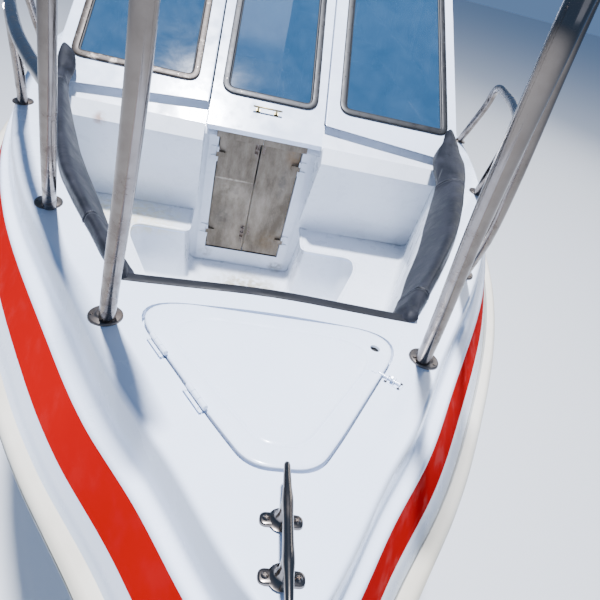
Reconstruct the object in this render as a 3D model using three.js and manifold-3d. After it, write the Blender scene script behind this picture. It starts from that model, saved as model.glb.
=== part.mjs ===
// Passenger speedboat with a bow well, a raked three-pane windscreen, a long cabin and one outboard motor.
// Millimetres, +Z up. The origin is on the centreline at the waterline, about amidships.
// The bow points to -Y, port is +X and starboard is -X.
import * as THREE from "three";
import { mergeVertices } from "three/addons/utils/BufferGeometryUtils.js";
import Module from "manifold-3d";

const wasm = await Module();
wasm.setup();

// Driving dimensions
const GAP = 0.3; // between pieces that touch
const CLEAR = 6; // between a moving piece and its neighbours
const BAND_DROP = 305; // deck edge down to the rub rail
const CAMBER = Math.tan(THREE.MathUtils.degToRad(3));
const TRANSOM_Y = 3800;
const FLOOR_Z = 190; // bow well floor, cabin sole and cockpit floor
const SOLE_THICK = 25;
const WELL_FRONT_Y = -2978;
const BULKHEAD_Y = -1453; // forward face of the cabin bulkhead
const BULKHEAD_THICK = 40;
const BENCH_Z = 510;
const LINER = 25; // thickness of the well liner
const CABIN_HALF = 980; // half the inside width of the cabin
const CABIN_AFT_Y = 2300;
const COCKPIT_AFT_Y = 3250;
const SCREEN_FOOT = { y: -1560, z: 1090 };
const SCREEN_RISE = THREE.MathUtils.degToRad(36.6); // from horizontal
const SCREEN_THICK = 40;
const SCREEN_FROM = -40; // the panels' lower ends, below the foot line
const SCREEN_LENGTH = 1335;
const SIDE_LEAN = THREE.MathUtils.degToRad(4.9);
const WALL = 40; // cabin side and back walls
const ROOF_Z = 1890; // underside of the roof at its edges
const PANE = 6;
const TUBE_R = 19;
const FLANGE_R = 40;

// Material colours
const WHITE = new THREE.MeshStandardMaterial({ color: 0xf2f4f7, roughness: 0.25 });
const CREAM = new THREE.MeshStandardMaterial({ color: 0xd9d2c0, roughness: 0.55 });
const VINYL = new THREE.MeshStandardMaterial({ color: 0x3c3f47, roughness: 0.6 });
const STEEL = new THREE.MeshStandardMaterial({ color: 0xb9b6b0, roughness: 0.25, metalness: 1 });
const BRONZE = new THREE.MeshStandardMaterial({ color: 0x6e6259, roughness: 0.4, metalness: 0.8 });
const DOOR_METAL = new THREE.MeshStandardMaterial({ color: 0x8b8578, roughness: 0.6, metalness: 0.7 });
const GLASS = new THREE.MeshStandardMaterial({
  color: 0x5f7f96,
  roughness: 0.1,
  transparent: true,
  opacity: 0.45,
});
const FLOOR = new THREE.MeshStandardMaterial({ color: 0xb7b1a4, roughness: 0.8 });
const SEAT = new THREE.MeshStandardMaterial({ color: 0x2f3946, roughness: 0.6 });
const MOTOR = new THREE.MeshStandardMaterial({ color: 0x24262a, roughness: 0.35 });
const ALLOY = new THREE.MeshStandardMaterial({ color: 0x4a4d52, roughness: 0.45, metalness: 0.6 });
const BLACK = new THREE.MeshStandardMaterial({ color: 0x17181a, roughness: 0.6 });

// Closed solids, and the cuts and joins made on them
function solidOf(geometry) {
  const plain = geometry.clone();
  plain.deleteAttribute("normal");
  plain.deleteAttribute("uv");
  const joined = mergeVertices(plain, 0.001);
  return new wasm.Manifold(
    new wasm.Mesh({
      numProp: 3,
      vertProperties: new Float32Array(joined.attributes.position.array),
      triVerts: new Uint32Array(joined.index.array),
    }),
  );
}

function geometryOf(solid) {
  const mesh = solid.getMesh();
  const geometry = new THREE.BufferGeometry();
  geometry.setAttribute("position", new THREE.BufferAttribute(new Float32Array(mesh.vertProperties), 3));
  geometry.setIndex(new THREE.BufferAttribute(new Uint32Array(mesh.triVerts), 1));
  return geometry;
}

function cut(body, ...tools) {
  return geometryOf(tools.reduce((left, tool) => left.subtract(solidOf(tool)), solidOf(body)));
}

function join(first, ...others) {
  return geometryOf(others.reduce((whole, other) => whole.add(solidOf(other)), solidOf(first)));
}

function common(a, b) {
  return geometryOf(solidOf(a).intersect(solidOf(b)));
}

function moved(geometry, x, y, z) {
  return geometry.clone().translate(x, y, z);
}

// The same shape on the other side of the boat
function mirrored(geometry) {
  const other = geometry.index ? geometry.toNonIndexed() : geometry.clone();
  other.deleteAttribute("normal");
  other.deleteAttribute("uv");
  other.scale(-1, 1, 1);
  const p = other.attributes.position.array;
  for (let i = 0; i < p.length; i += 9) {
    for (let k = 0; k < 3; k++) {
      [p[i + 3 + k], p[i + 6 + k]] = [p[i + 6 + k], p[i + 3 + k]];
    }
  }
  return mergeVertices(other, 0.001);
}

function box(x0, x1, y0, y1, z0, z1) {
  const g = new THREE.BoxGeometry(x1 - x0, y1 - y0, z1 - z0);
  return g.translate((x0 + x1) / 2, (y0 + y1) / 2, (z0 + z1) / 2);
}

function shapeOf(points) {
  return new THREE.Shape(points.map(([x, y]) => new THREE.Vector2(x, y)));
}

// A plan outline [x, y] standing between two heights
function prism(outline, z0, z1) {
  const g = new THREE.ExtrudeGeometry(shapeOf(outline), { depth: z1 - z0, bevelEnabled: false });
  return g.translate(0, 0, z0);
}

// A side profile [y, z] running across the boat from x0 to x1
function across(profile, x0, x1) {
  const g = new THREE.ExtrudeGeometry(shapeOf(profile), { depth: x1 - x0, bevelEnabled: false });
  const basis = new THREE.Matrix4().makeBasis(
    new THREE.Vector3(0, 1, 0),
    new THREE.Vector3(0, 0, 1),
    new THREE.Vector3(1, 0, 0),
  );
  return g.applyMatrix4(basis).translate(x0, 0, 0);
}

// A rectangle in plan or in a panel's own plane, with round corners
function roundedRect(x0, x1, y0, y1, r, steps = 5) {
  const corners = [
    [x1 - r, y0 + r, -90],
    [x1 - r, y1 - r, 0],
    [x0 + r, y1 - r, 90],
    [x0 + r, y0 + r, 180],
  ];
  return corners.flatMap(([cx, cy, start]) =>
    Array.from({ length: steps + 1 }, (_, i) => {
      const a = THREE.MathUtils.degToRad(start + (90 * i) / steps);
      return [cx + r * Math.cos(a), cy + r * Math.sin(a)];
    }),
  );
}

// Rounds the corners of any outline: points are [x, y, radius]
function rounded(points, steps = 4) {
  const n = points.length;
  return points.flatMap(([x, y, r], i) => {
    if (!r) return [[x, y]];
    const [px, py] = points[(i + n - 1) % n];
    const [qx, qy] = points[(i + 1) % n];
    const corner = new THREE.Vector2(x, y);
    const back = new THREE.Vector2(px - x, py - y);
    const on = new THREE.Vector2(qx - x, qy - y);
    back.setLength(Math.min(r, back.length() * 0.48)).add(corner);
    on.setLength(Math.min(r, on.length() * 0.48)).add(corner);
    return new THREE.QuadraticBezierCurve(back, corner, on).getPoints(steps).map((p) => [p.x, p.y]);
  });
}

function reach(p, q) {
  return Math.hypot(p[0] - q[0], p[1] - q[1], p[2] - q[2]);
}

// A closed body through rings of equal point counts, each end ring capped in its own plane.
// Quads split on the shorter diagonal, so both sides of the boat match.
function loft(rings) {
  const n = rings[0].length;
  const points = rings.flat();
  const faces = [];
  for (let r = 0; r + 1 < rings.length; r++) {
    for (let i = 0; i < n; i++) {
      const a = r * n + i;
      const b = r * n + ((i + 1) % n);
      const [toAhead, toBack] = [[a, b + n], [b, a + n]].map(([p, q]) => reach(points[p], points[q]));
      if (toAhead < toBack) faces.push([a, b, b + n], [a, b + n, a + n]);
      else faces.push([a, b, a + n], [b, b + n, a + n]);
    }
  }
  const capped = (ring, offset, flip) => {
    const normal = new THREE.Vector3();
    ring.forEach((p, i) => {
      const q = ring[(i + 1) % n];
      normal.x += (p[1] - q[1]) * (p[2] + q[2]);
      normal.y += (p[2] - q[2]) * (p[0] + q[0]);
      normal.z += (p[0] - q[0]) * (p[1] + q[1]);
    });
    if (normal.length() < 1) return;
    const turn = new THREE.Quaternion().setFromUnitVectors(normal.normalize(), new THREE.Vector3(0, 0, 1));
    const flat = ring.map((p) => {
      const v = new THREE.Vector3(...p).applyQuaternion(turn);
      return new THREE.Vector2(v.x, v.y);
    });
    THREE.ShapeUtils.triangulateShape(flat, []).forEach(([a, b, c]) => {
      faces.push(flip ? [offset + a, offset + c, offset + b] : [offset + a, offset + b, offset + c]);
    });
  };
  capped(rings[0], 0, true);
  capped(rings.at(-1), (rings.length - 1) * n, false);
  return closed(points, faces);
}

// Triangles over shared points, turned so that they face out, with slivers of no area left out
function closed(points, faces) {
  const key = (p) => p.map((c) => Math.round(c * 100)).join();
  const ids = new Map();
  const kept = [];
  const ref = points.map((p) => {
    const k = key(p);
    if (!ids.has(k)) {
      ids.set(k, kept.length);
      kept.push(p);
    }
    return ids.get(k);
  });
  let volume = 0;
  const good = faces.map((f) => f.map((i) => ref[i])).filter(([a, b, c]) => a !== b && b !== c && a !== c);
  good.forEach(([a, b, c]) => {
    const [p, q, r] = [kept[a], kept[b], kept[c]].map((v) => new THREE.Vector3(...v));
    volume += p.dot(q.cross(r));
  });
  const g = new THREE.BufferGeometry();
  g.setAttribute("position", new THREE.BufferAttribute(new Float32Array(kept.flat()), 3));
  g.setIndex(good.flatMap(([a, b, c]) => (volume > 0 ? [a, b, c] : [a, c, b])));
  return g;
}

function tube(curve, radius, steps, sides = 8) {
  const ring = Array.from({ length: sides }, (_, i) => {
    const a = (i * 2 * Math.PI) / sides;
    return [radius * Math.cos(a), radius * Math.sin(a)];
  });
  return new THREE.ExtrudeGeometry(shapeOf(ring), { steps, bevelEnabled: false, extrudePath: curve });
}

function cylinder(radius, height, sides = 24) {
  return new THREE.CylinderGeometry(radius, radius, height, sides).rotateX(Math.PI / 2);
}

// Hull and deck lines. One row is one frame, from the stem to the transom, and carries these columns:
// deck edge x, y, z; rub rail x, y; chine x, y, z; keel y, z
const LINES = {
  columns: ["edgeX", "edgeY", "edgeZ", "railX", "railY", "chineX", "chineY", "chineZ", "keelY", "keelZ"],
  rows: [
    [0, -3880, 1272, 0, -4085, 0, -3960, 560, -3830, 330],
    [75, -3785, 1258, 150, -3925, 75, -3810, 520, -3600, 60],
    [206, -3575, 1230, 349, -3658, 200, -3600, 455, -3300, -90],
    [325, -3400, 1198, 520, -3440, 330, -3400, 400, -3050, -180],
    [463, -3149, 1161, 690, -3180, 480, -3149, 330, -2800, -240],
    [784, -2582, 1130, 970, -2600, 770, -2582, 205, -2450, -300],
    [997, -2045, 1112, 1140, -2060, 930, -2045, 110, -2000, -330],
    [1165, -1300, 1089, 1262, -1305, 1035, -1300, 35, -1300, -348],
    [1235, -300, 1060, 1322, -300, 1065, -300, 0, -300, -350],
    [1240, 1500, 1012, 1325, 1500, 1055, 1500, -20, 1500, -350],
    [1190, TRANSOM_Y, 960, 1275, TRANSOM_Y, 1010, TRANSOM_Y, -25, TRANSOM_Y, -340],
  ],
};
const stations = LINES.rows.map((row) => row[1]);
const linesAt = new THREE.CubicInterpolant(stations, LINES.rows.flat(), LINES.columns.length);

function frameAt(y) {
  const values = linesAt.evaluate(THREE.MathUtils.clamp(y, stations[0], TRANSOM_Y));
  return Object.fromEntries(LINES.columns.map((name, i) => [name, values[i]]));
}

// Stations are split finer towards the bow
const SPLIT = [2, 2, 2, 2, 3, 3, 3, 3, 3, 3];
const hullStations = stations.flatMap((y, i) =>
  i === stations.length - 1
    ? [y]
    : Array.from({ length: SPLIT[i] }, (_, k) => y + ((stations[i + 1] - y) * k) / SPLIT[i]),
);
const frames = hullStations.map(frameAt);

// A point on the band between deck edge (0) and rub rail (1), dropped below the deck edge
function bandPoint(frame, share, drop) {
  return [
    THREE.MathUtils.lerp(frame.edgeX, frame.railX, share),
    THREE.MathUtils.lerp(frame.edgeY, frame.railY, share),
    frame.edgeZ - drop,
  ];
}

// Half a frame's section, mirrored into a closed ring
function ringOf(half) {
  const other = half.map(([x, y, z]) => [-x, y, z]).reverse();
  return [...half, ...other];
}

// The deck moulding's band: [name, share of the way out to the rub rail, drop]
const BAND = [
  ["deck edge", 0, 0],
  ["riser foot", 0.1, 105],
  ["shelf edge", 0.29, 108],
  ["stripe foot", 0.6, 239],
  ["gunwale", 0.79, BAND_DROP],
];
const SEAM = 0.79;

// Deck line at the centre and the height of the deck surface at any point
function deckZ(x, y) {
  const f = frameAt(y);
  return f.edgeZ + (f.edgeX - Math.min(Math.abs(x), f.edgeX)) * CAMBER;
}

function deckBody() {
  return loft(
    frames.map((f) => {
      const outside = BAND.map(([, share, drop]) => bandPoint(f, share, drop));
      const crown = [0, f.edgeY, f.edgeZ + f.edgeX * CAMBER];
      const keel = [0, outside.at(-1)[1], f.edgeZ - BAND_DROP];
      const other = outside.map(([x, y, z]) => [-x, y, z]).reverse();
      return [crown, ...outside, keel, ...other];
    }),
  );
}

function hullBody() {
  const KEEL_PAD = 35;
  const CHINE_FLAT = 55;
  return loft(
    frames.map((f) => {
      const gunwale = bandPoint(f, SEAM, BAND_DROP + GAP);
      const chine = [f.chineX, f.chineY, f.chineZ];
      const hollow = 0.06 * Math.max(0, 1 - f.chineX / 1000) * (gunwale[2] - chine[2]);
      const topside = gunwale.map((c, k) => THREE.MathUtils.lerp(chine[k], c, 0.55));
      topside[0] = Math.max(0, topside[0] - (f.chineX > 1 ? hollow : 0));
      const inner = f.chineX - Math.min(CHINE_FLAT, f.chineX / 2);
      const pad = Math.min(KEEL_PAD, inner / 2);
      const half = [
        gunwale,
        topside,
        chine,
        [inner, f.chineY, f.chineZ - (inner > 0 ? 8 : 0)],
        [pad, f.keelY, f.keelZ],
      ];
      return ringOf(half);
    }),
  );
}

// Bow well. Columns: station y, half width of the opening at deck level, half width below the pad
const WELL = [
  [WELL_FRONT_Y, 395, 335],
  [-2899, 464, 385],
  [-2789, 529, 440],
  [-2657, 605, 487],
  [-2474, 695, 567],
  [-2220, 780, 680],
  [-1972, 851, 779],
  [-1736, 920, 866],
  [BULKHEAD_Y, 1003, 962],
];
const PAD_TOP = 1165; // level of the upper outline
const PAD_DEPTH = 150;
const SHOULDER_Z = PAD_TOP - PAD_DEPTH - 40; // level of the lower outline
const WELL_TOP = 1400;

function planOf(column, grow, aftY) {
  const side = WELL.map((row) => [row[column] + grow, row[0]]);
  side[0][1] -= grow;
  if (aftY > BULKHEAD_Y) side.push([side.at(-1)[0], aftY]);
  else side.at(-1)[1] = aftY;
  return [...side, ...side.map(([x, y]) => [-x, y]).reverse()];
}

// The pad sits on a slope between the two outlines
function wellThroat(grow, aftY) {
  const rings = [
    [1, WELL_TOP],
    [1, PAD_TOP],
    [2, SHOULDER_Z],
  ];
  return loft(rings.map(([column, z]) => planOf(column, grow, aftY).map(([x, y]) => [x, y, z])));
}

// Footwell between the benches. Columns: half width, y, corner radius
const FOOTWELL = [
  [180, -2750, 60],
  [590, -1800, 0],
  [590, -1690, 70],
  [300, -1690, 0],
  [300, BULKHEAD_Y, 0],
];

function footPlan(grow, aftY) {
  const side = FOOTWELL.map(([x, y, r], i) => [x + grow, i === 0 ? y - grow : y + grow, r]);
  side.at(-1)[1] = aftY;
  return rounded([...side, ...side.map(([x, y, r]) => [-x, y, r]).reverse()]);
}

// The room inside the well, or the liner's outside when grown by its thickness
function wellSpace(grow, floor, aftY) {
  return join(
    wellThroat(grow, aftY),
    prism(planOf(2, grow, aftY), BENCH_Z - grow, SHOULDER_Z + 1),
    prism(footPlan(grow, aftY), floor, BENCH_Z + 1),
  );
}

const LINER_TOP = 1085; // the deck laps over the liner from here up
const DOOR = { halfTop: 221, halfBottom: 215, z0: 288, z1: 986 };
const JAMB = { wide: 50, proud: 8 };

function wellLiner() {
  const outside = wellSpace(LINER, FLOOR_Z - SOLE_THICK, BULKHEAD_Y - GAP);
  const inside = wellSpace(0, FLOOR_Z, BULKHEAD_Y + 50);
  return cut(outside, inside, box(-1500, 1500, -3200, -1300, LINER_TOP, 1500));
}

const deckWhole = deckBody();
const cabinFloor = FLOOR_Z - SOLE_THICK - GAP;
const underLap = box(-1500, 1500, -3200, BULKHEAD_Y + 1, 0, LINER_TOP + GAP);
const wellTool = join(
  common(wellSpace(LINER + GAP, cabinFloor, BULKHEAD_Y), underLap),
  wellSpace(0, FLOOR_Z, BULKHEAD_Y),
);
const cabinTool = box(-CABIN_HALF, CABIN_HALF, BULKHEAD_Y - GAP, COCKPIT_AFT_Y, cabinFloor, 1600);
const NOTCH = { half: 360, wall: 60, z: 300, floor: 250 }; // motor's notch and the splash well before it
const splashFrom = COCKPIT_AFT_Y + NOTCH.wall;
const splashWell = box(-NOTCH.half, NOTCH.half, splashFrom, TRANSOM_Y - NOTCH.wall, NOTCH.floor, 1600);
const transomNotch = box(-NOTCH.half, NOTCH.half, TRANSOM_Y - NOTCH.wall - 1, TRANSOM_Y + 10, NOTCH.z, 1600);

// Hinges. A pin carries three knuckles, the middle one on the piece that moves.
// In a hinge's own frame x runs along the pin, y towards the moving piece and z outwards
const HINGE = { radius: 6, length: 78, sink: 1.5, lift: 1 };
const FIXED = [0, 2];
const MOVING = [1];

function hingeFrame(at, along, towards) {
  const x = new THREE.Vector3(...along).normalize();
  const y = new THREE.Vector3(...towards);
  y.addScaledVector(x, -y.dot(x)).normalize();
  const z = new THREE.Vector3().crossVectors(x, y);
  return new THREE.Matrix4().makeBasis(x, y, z).setPosition(...at);
}

// Straps are [y0, y1, z0, z1] in the hinge's frame
function knuckles(frame, turns, straps) {
  const step = HINGE.length / 3;
  return turns.map((turn) => {
    const x0 = (turn - 1.5) * step + GAP / 2;
    const x1 = x0 + step - GAP;
    const barrel = cylinder(HINGE.radius, x1 - x0, 10).rotateY(Math.PI / 2).translate((x0 + x1) / 2, 0, 0);
    return join(barrel, ...straps.map(([y0, y1, z0, z1]) => box(x0, x1, y0, y1, z0, z1))).applyMatrix4(frame);
  });
}

// Chain locker hatch on the foredeck. Columns: half width, y, corner radius
const HATCH = [
  [366, -3086, 160],
  [118, -3500, 50],
  [62, -3584, 45],
];
const LID_THICK = 30;
const LID_PROUD = 6;

function hatchPlan(grow) {
  const [rear, side, nose] = HATCH;
  return rounded([
    [rear[0] + grow * 1.3, rear[1] + grow, rear[2]],
    [side[0] + grow, side[1], side[2]],
    [nose[0] + grow * 0.5, nose[1] - grow, nose[2]],
    [-nose[0] - grow * 0.5, nose[1] - grow, nose[2]],
    [-side[0] - grow, side[1], side[2]],
    [-rear[0] - grow * 1.3, rear[1] + grow, rear[2]],
  ]);
}

// The lid's hinges lie over the gap along its starboard edge, this far from its rear corner
const HATCH_HINGES_AT = [205, 392];
const [lidRear, lidSide] = HATCH.map(([x, y]) => new THREE.Vector2(-x, y));
const lidEdge = lidSide.clone().sub(lidRear).normalize();
const lidInboard = new THREE.Vector2(-lidEdge.y, lidEdge.x);
const lidPins = HATCH_HINGES_AT.map((at) => {
  const p = lidRear.clone().addScaledVector(lidEdge, at).addScaledVector(lidInboard, -CLEAR / 2);
  return [p.x, p.y, deckZ(p.x, p.y) + LID_PROUD + HINGE.radius + HINGE.lift];
});
const lidAxis = lidPins[1].map((c, k) => c - lidPins[0][k]);
const lidHinges = lidPins.map((pin) => hingeFrame(pin, lidAxis, [lidInboard.x, lidInboard.y, 0]));
const STRAP_FOOT = -HINGE.radius - HINGE.lift - HINGE.sink;
const LID_STRAP = [0, 15, STRAP_FOOT, -3];
const DECK_STRAP = [-15, 0, STRAP_FOOT - LID_PROUD, -3];

function hatchLid() {
  const skin = common(deckWhole, prism(hatchPlan(0), 900, 1500));
  const slab = cut(skin, moved(deckWhole, 0, 0, -LID_THICK));
  const hung = lidHinges.flatMap((hinge) => knuckles(hinge, MOVING, [LID_STRAP]));
  return join(moved(slab, 0, 0, LID_PROUD), ...hung);
}

function deck() {
  const under = moved(deckWhole, 0, 0, LID_PROUD - LID_THICK - CLEAR);
  const recess = cut(prism(hatchPlan(CLEAR), 900, 1500), under);
  const locker = prism(hatchPlan(-30), 1000, 1500);
  const hollow = cut(deckWhole, wellTool, cabinTool, splashWell, transomNotch, recess, locker);
  return join(hollow, ...lidHinges.flatMap((hinge) => knuckles(hinge, FIXED, [DECK_STRAP])));
}

function hull() {
  return cut(hullBody(), wellTool, cabinTool, splashWell, transomNotch);
}

// Rub rail: one bar from the starboard transom round the stem to the port transom
const RAIL = { out: 46, high: 26, low: 26, chamfer: 12 };

function rubRail() {
  const sides = [...frames.slice(1).reverse().map((f) => [f, -1]), ...frames.map((f) => [f, 1])];
  return loft(
    sides.map(([f, side]) => {
      const gunwale = bandPoint(f, SEAM, BAND_DROP);
      const rail = bandPoint(f, 1, BAND_DROP);
      const out = new THREE.Vector2(rail[0] - gunwale[0], rail[1] - gunwale[1]);
      const n = out.length() > 1 ? out.normalize() : new THREE.Vector2(1, 0);
      const at = (d, z) => [
        side * (gunwale[0] + n.x * d),
        gunwale[1] + n.y * d,
        gunwale[2] + z,
      ];
      return [
        at(GAP, -RAIL.low),
        at(GAP, RAIL.high),
        at(RAIL.out - RAIL.chamfer, RAIL.high - 4),
        at(RAIL.out, 0),
        at(RAIL.out - RAIL.chamfer, -RAIL.low + 4),
      ];
    }),
  );
}

// Cleat: two pedestals and a bar that thickens over each post and tapers to its ends
function cleat(x, y, length, spread, turn = 0) {
  const FOOT = { half: 36, wide: 12, high: 6, deep: 6 }; // its depth is trimmed off at the deck
  const PEDESTAL = { half: 13, wide: 11, high: 30 };
  const POST_R = 9;
  const BAR_HEIGHT = 52;
  const BAR_R = 9.5;
  const TIP_R = 5.5;
  const profile = [
    [0, -length / 2],
    [TIP_R, -length / 2 + 2],
    [BAR_R * 0.8, -spread / 2 - 25],
    [BAR_R, -spread / 2],
    [BAR_R * 0.9, 0],
    [BAR_R, spread / 2],
    [BAR_R * 0.8, spread / 2 + 25],
    [TIP_R, length / 2 - 2],
    [0, length / 2],
  ].map(([r, h]) => new THREE.Vector2(r, h));
  const bar = new THREE.LatheGeometry(profile, 12).translate(0, 0, BAR_HEIGHT);
  const posts = [-spread / 2, spread / 2].flatMap((at) => [
    moved(cylinder(POST_R, BAR_HEIGHT, 12), 0, at, BAR_HEIGHT / 2),
    moved(box(-FOOT.half, FOOT.half, -FOOT.wide, FOOT.wide, -FOOT.deep, FOOT.high), 0, at, 0),
    moved(box(-PEDESTAL.half, PEDESTAL.half, -PEDESTAL.wide, PEDESTAL.wide, 0, PEDESTAL.high), 0, at, 0),
  ]);
  const slope = Math.atan((deckZ(x, y + 60) - deckZ(x, y - 60)) / 120);
  const lean = Math.abs(x) < 50 ? 0 : Math.sign(x) * Math.atan(CAMBER);
  return join(bar, ...posts).rotateX(slope).rotateY(lean).rotateZ(turn).translate(x, y, deckZ(x, y));
}

// A piece that stands on the deck: cut off flush where it meets the surface
function onDeck(geometry) {
  return cut(geometry, moved(deckWhole, 0, 0, GAP));
}

// Rails. Points are x (port side), y, height above the forward flange; the loop rises from two flanges,
// the side rail leaves its after leg and comes down to its own foot
const RAIL_BASE_Z = 1150;
const RAIL_LEAN = 0.0455;
const BOW_LOOP = [
  [398, -3166, -20],
  [368, -3216, 165],
  [317, -3292, 465],
  [280, -3359, 715],
  [270, -3380, 850],
  [310, -3320, 940],
  [400, -3165, 965],
  [485, -3020, 925],
  [513, -2977, 742],
  [556, -2924, 442],
  [592, -2862, 250],
  [640, -2752, 80],
  [676, -2664, -40],
];
const SIDE_RAIL = [
  [556, -2924, 442],
  [670, -2700, 415],
  [789, -2450, 400],
  [984, -1950, 380],
  [1060, -1690, 362],
  [1102, -1480, 343],
  [1122, -1405, 300],
  [1130, -1365, 235],
  [1165, -1105, -70],
];
const MID_POST = [
  [1013, -1879, -58],
  [893, -2205, 392],
];
const FLANGE_THICK = 8;

function pathOf(points) {
  return new THREE.CatmullRomCurve3(points.map(([x, y, z]) => new THREE.Vector3(x, y, z + RAIL_BASE_Z)));
}

function flange(x, y) {
  const z = deckZ(x, y);
  const lean = Math.atan(CAMBER);
  return cylinder(FLANGE_R, FLANGE_THICK * 2, 20).rotateY(lean).translate(x, y, z + GAP);
}

function bowRail() {
  const feet = [BOW_LOOP[0], BOW_LOOP.at(-1), SIDE_RAIL.at(-1), MID_POST[0]];
  return join(
    tube(pathOf(BOW_LOOP), TUBE_R, 36),
    tube(pathOf(SIDE_RAIL), TUBE_R, 28),
    tube(pathOf(MID_POST), TUBE_R, 1),
    ...feet.map(([x, y]) => flange(x, y)),
  );
}

// Both rails have been pushed over a little to starboard, more with height
function leaned(geometry) {
  const pushed = geometry.clone();
  const at = pushed.attributes.position;
  for (let i = 0; i < at.count; i++) {
    const height = Math.max(0, at.getZ(i) - RAIL_BASE_Z);
    at.setX(i, at.getX(i) - RAIL_LEAN * height);
  }
  return pushed;
}

// Coaming pad: a roll along the well's edge, from the front corner up to the side window's frame.
// Columns: station y, half width of the well at the pad's top and below it, the pad's lower edge and top
const PAD_CLEAR = 0.5;
const PAD_ROUND = 26; // how far the roll stands over the deck edge
const PAD_BACK = { low: 25, middle: 45, top: 45, crest: 20 }; // how far the roll's back stands from its face
const PAD_ROWS = [
  [-2965, 412, 350, 1085, PAD_TOP],
  ...WELL.slice(1, -1).map(([y, outer, inner]) => [y, outer, inner, PAD_TOP - PAD_DEPTH, PAD_TOP]),
  [-1650, 945, 895, 1016, 1168],
  [-1592, 962, 914, 1078, 1175],
  [-1530, 980, 934, 1118, 1190],
  [BULKHEAD_Y - 1, 1003, 962, 1174, 1222],
];

function coamingPad() {
  const rings = PAD_ROWS.map(([y, outer, inner, low, top]) => {
    const slope = (PAD_TOP - SHOULDER_Z) / (outer - inner);
    const faceX = (z) => outer - Math.max(0, PAD_TOP - z) / slope + 5;
    return [
      [faceX(top), y, top],
      [faceX(low), y, low],
      [faceX(low) - PAD_BACK.low, y, low + 10],
      [(faceX(low) + faceX(top)) / 2 - PAD_BACK.middle, y, (low + top) / 2 + 20],
      [faceX(top) - PAD_BACK.top, y, top + 5],
      [faceX(top) - PAD_BACK.crest, y, top + PAD_ROUND],
      [faceX(top), y, top + PAD_ROUND - 8],
    ];
  });
  return common(loft(rings), wellSpace(-PAD_CLEAR, FLOOR_Z, BULKHEAD_Y));
}

// Windscreen panels, in the screen's own plane: x across, v up the slope, the outer face at zero depth
function onScreen(geometry, proud = 0) {
  return geometry
    .clone()
    .translate(0, 0, proud)
    .rotateX(SCREEN_RISE)
    .translate(0, SCREEN_FOOT.y, SCREEN_FOOT.z);
}

function slab(outline, thick, holes = []) {
  const shape = shapeOf(outline);
  holes.forEach((hole) => shape.holes.push(new THREE.Path(hole.map(([x, y]) => new THREE.Vector2(x, y)))));
  return new THREE.ExtrudeGeometry(shape, { depth: thick, bevelEnabled: false }).translate(0, 0, -thick);
}

const CENTRE_HALF = 285;
const SIDE_FROM = 293; // inner edge of a side panel
const FRAME_BAR = 35;
const FRAME_PROUD = 10;
const WINDOW_FOOT = 171;
const WINDOW_TOP = 1220;
// Window outlines: x, v, corner radius
const SIDE_WINDOW = [
  [356, WINDOW_FOOT, 70],
  [958, WINDOW_FOOT, 60],
  [912, WINDOW_TOP, 70],
  [356, WINDOW_TOP, 70],
];
const CENTRE_WINDOW = [
  [-245, WINDOW_FOOT - 22, 75],
  [245, WINDOW_FOOT - 22, 75],
  [232, WINDOW_TOP - 30, 60],
  [-232, WINDOW_TOP - 30, 60],
];

function inset(outline, d) {
  const cx = outline.reduce((sum, p) => sum + p[0], 0) / outline.length;
  const cy = outline.reduce((sum, p) => sum + p[1], 0) / outline.length;
  return outline.map(([x, y, r]) => {
    const inner = Math.max(8, r - d * 0.6);
    return [x - Math.sign(x - cx) * d, y - Math.sign(y - cy) * d, inner];
  });
}

const SIDE_PANEL = [
  [SIDE_FROM, SCREEN_FROM],
  [905, SCREEN_FROM],
  [1012, 180],
  [960, SCREEN_LENGTH],
  [SIDE_FROM, SCREEN_LENGTH],
];
const CENTRE_PANEL = [
  [-CENTRE_HALF, SCREEN_FROM],
  [CENTRE_HALF, SCREEN_FROM],
  [CENTRE_HALF, SCREEN_LENGTH - 60],
  [-CENTRE_HALF, SCREEN_LENGTH - 60],
];
const SCREEN_HEADER = { from: SCREEN_LENGTH - 60 + CLEAR, half: SIDE_FROM - GAP };
// The centre panel hangs from two hinges on its outer face, in the panel's own plane
const SCREEN_PIN = { v: SCREEN_HEADER.from - CLEAR / 2, out: 8, spread: 190 };
const screenHinges = [-SCREEN_PIN.spread, SCREEN_PIN.spread].map((x) =>
  hingeFrame([x, SCREEN_PIN.v, SCREEN_PIN.out], [-1, 0, 0], [0, -1, 0]),
);
const PANEL_STRAP = [0, 30, -SCREEN_PIN.out - HINGE.sink, -3];
const HEADER_STRAP = [-30, 0, -SCREEN_PIN.out - HINGE.sink, -3];
const OPENING_INSET = FRAME_BAR - 12; // the panel's hole lies under the frame's bar

// The fixed bar over the centre panel
function screenHeader() {
  const { from, half } = SCREEN_HEADER;
  const bar = box(-half, half, from, SCREEN_LENGTH, -SCREEN_THICK, 0);
  return join(bar, ...screenHinges.flatMap((hinge) => knuckles(hinge, FIXED, [HEADER_STRAP])));
}

function centrePanel() {
  const hung = screenHinges.flatMap((hinge) => knuckles(hinge, MOVING, [PANEL_STRAP]));
  return join(screenPanel(CENTRE_PANEL, CENTRE_WINDOW), ...hung);
}

function screenPanel(outline, window) {
  return slab(outline, SCREEN_THICK, [rounded(inset(window, OPENING_INSET - 8))]);
}

// A frame: a flat ring on the panel's face with a lip down through the hole, round the pane
function windowFrame(window) {
  const face = slab(rounded(window), FRAME_PROUD, [rounded(inset(window, FRAME_BAR))]);
  const lipOutside = rounded(inset(window, OPENING_INSET - 7));
  const lip = slab(lipOutside, SCREEN_THICK * 0.6, [rounded(inset(window, FRAME_BAR))]);
  return join(face.translate(0, 0, FRAME_PROUD + GAP), lip.translate(0, 0, 1));
}

function windowPane(window) {
  return slab(rounded(inset(window, FRAME_BAR + GAP)), PANE).translate(0, 0, -4);
}

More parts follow.
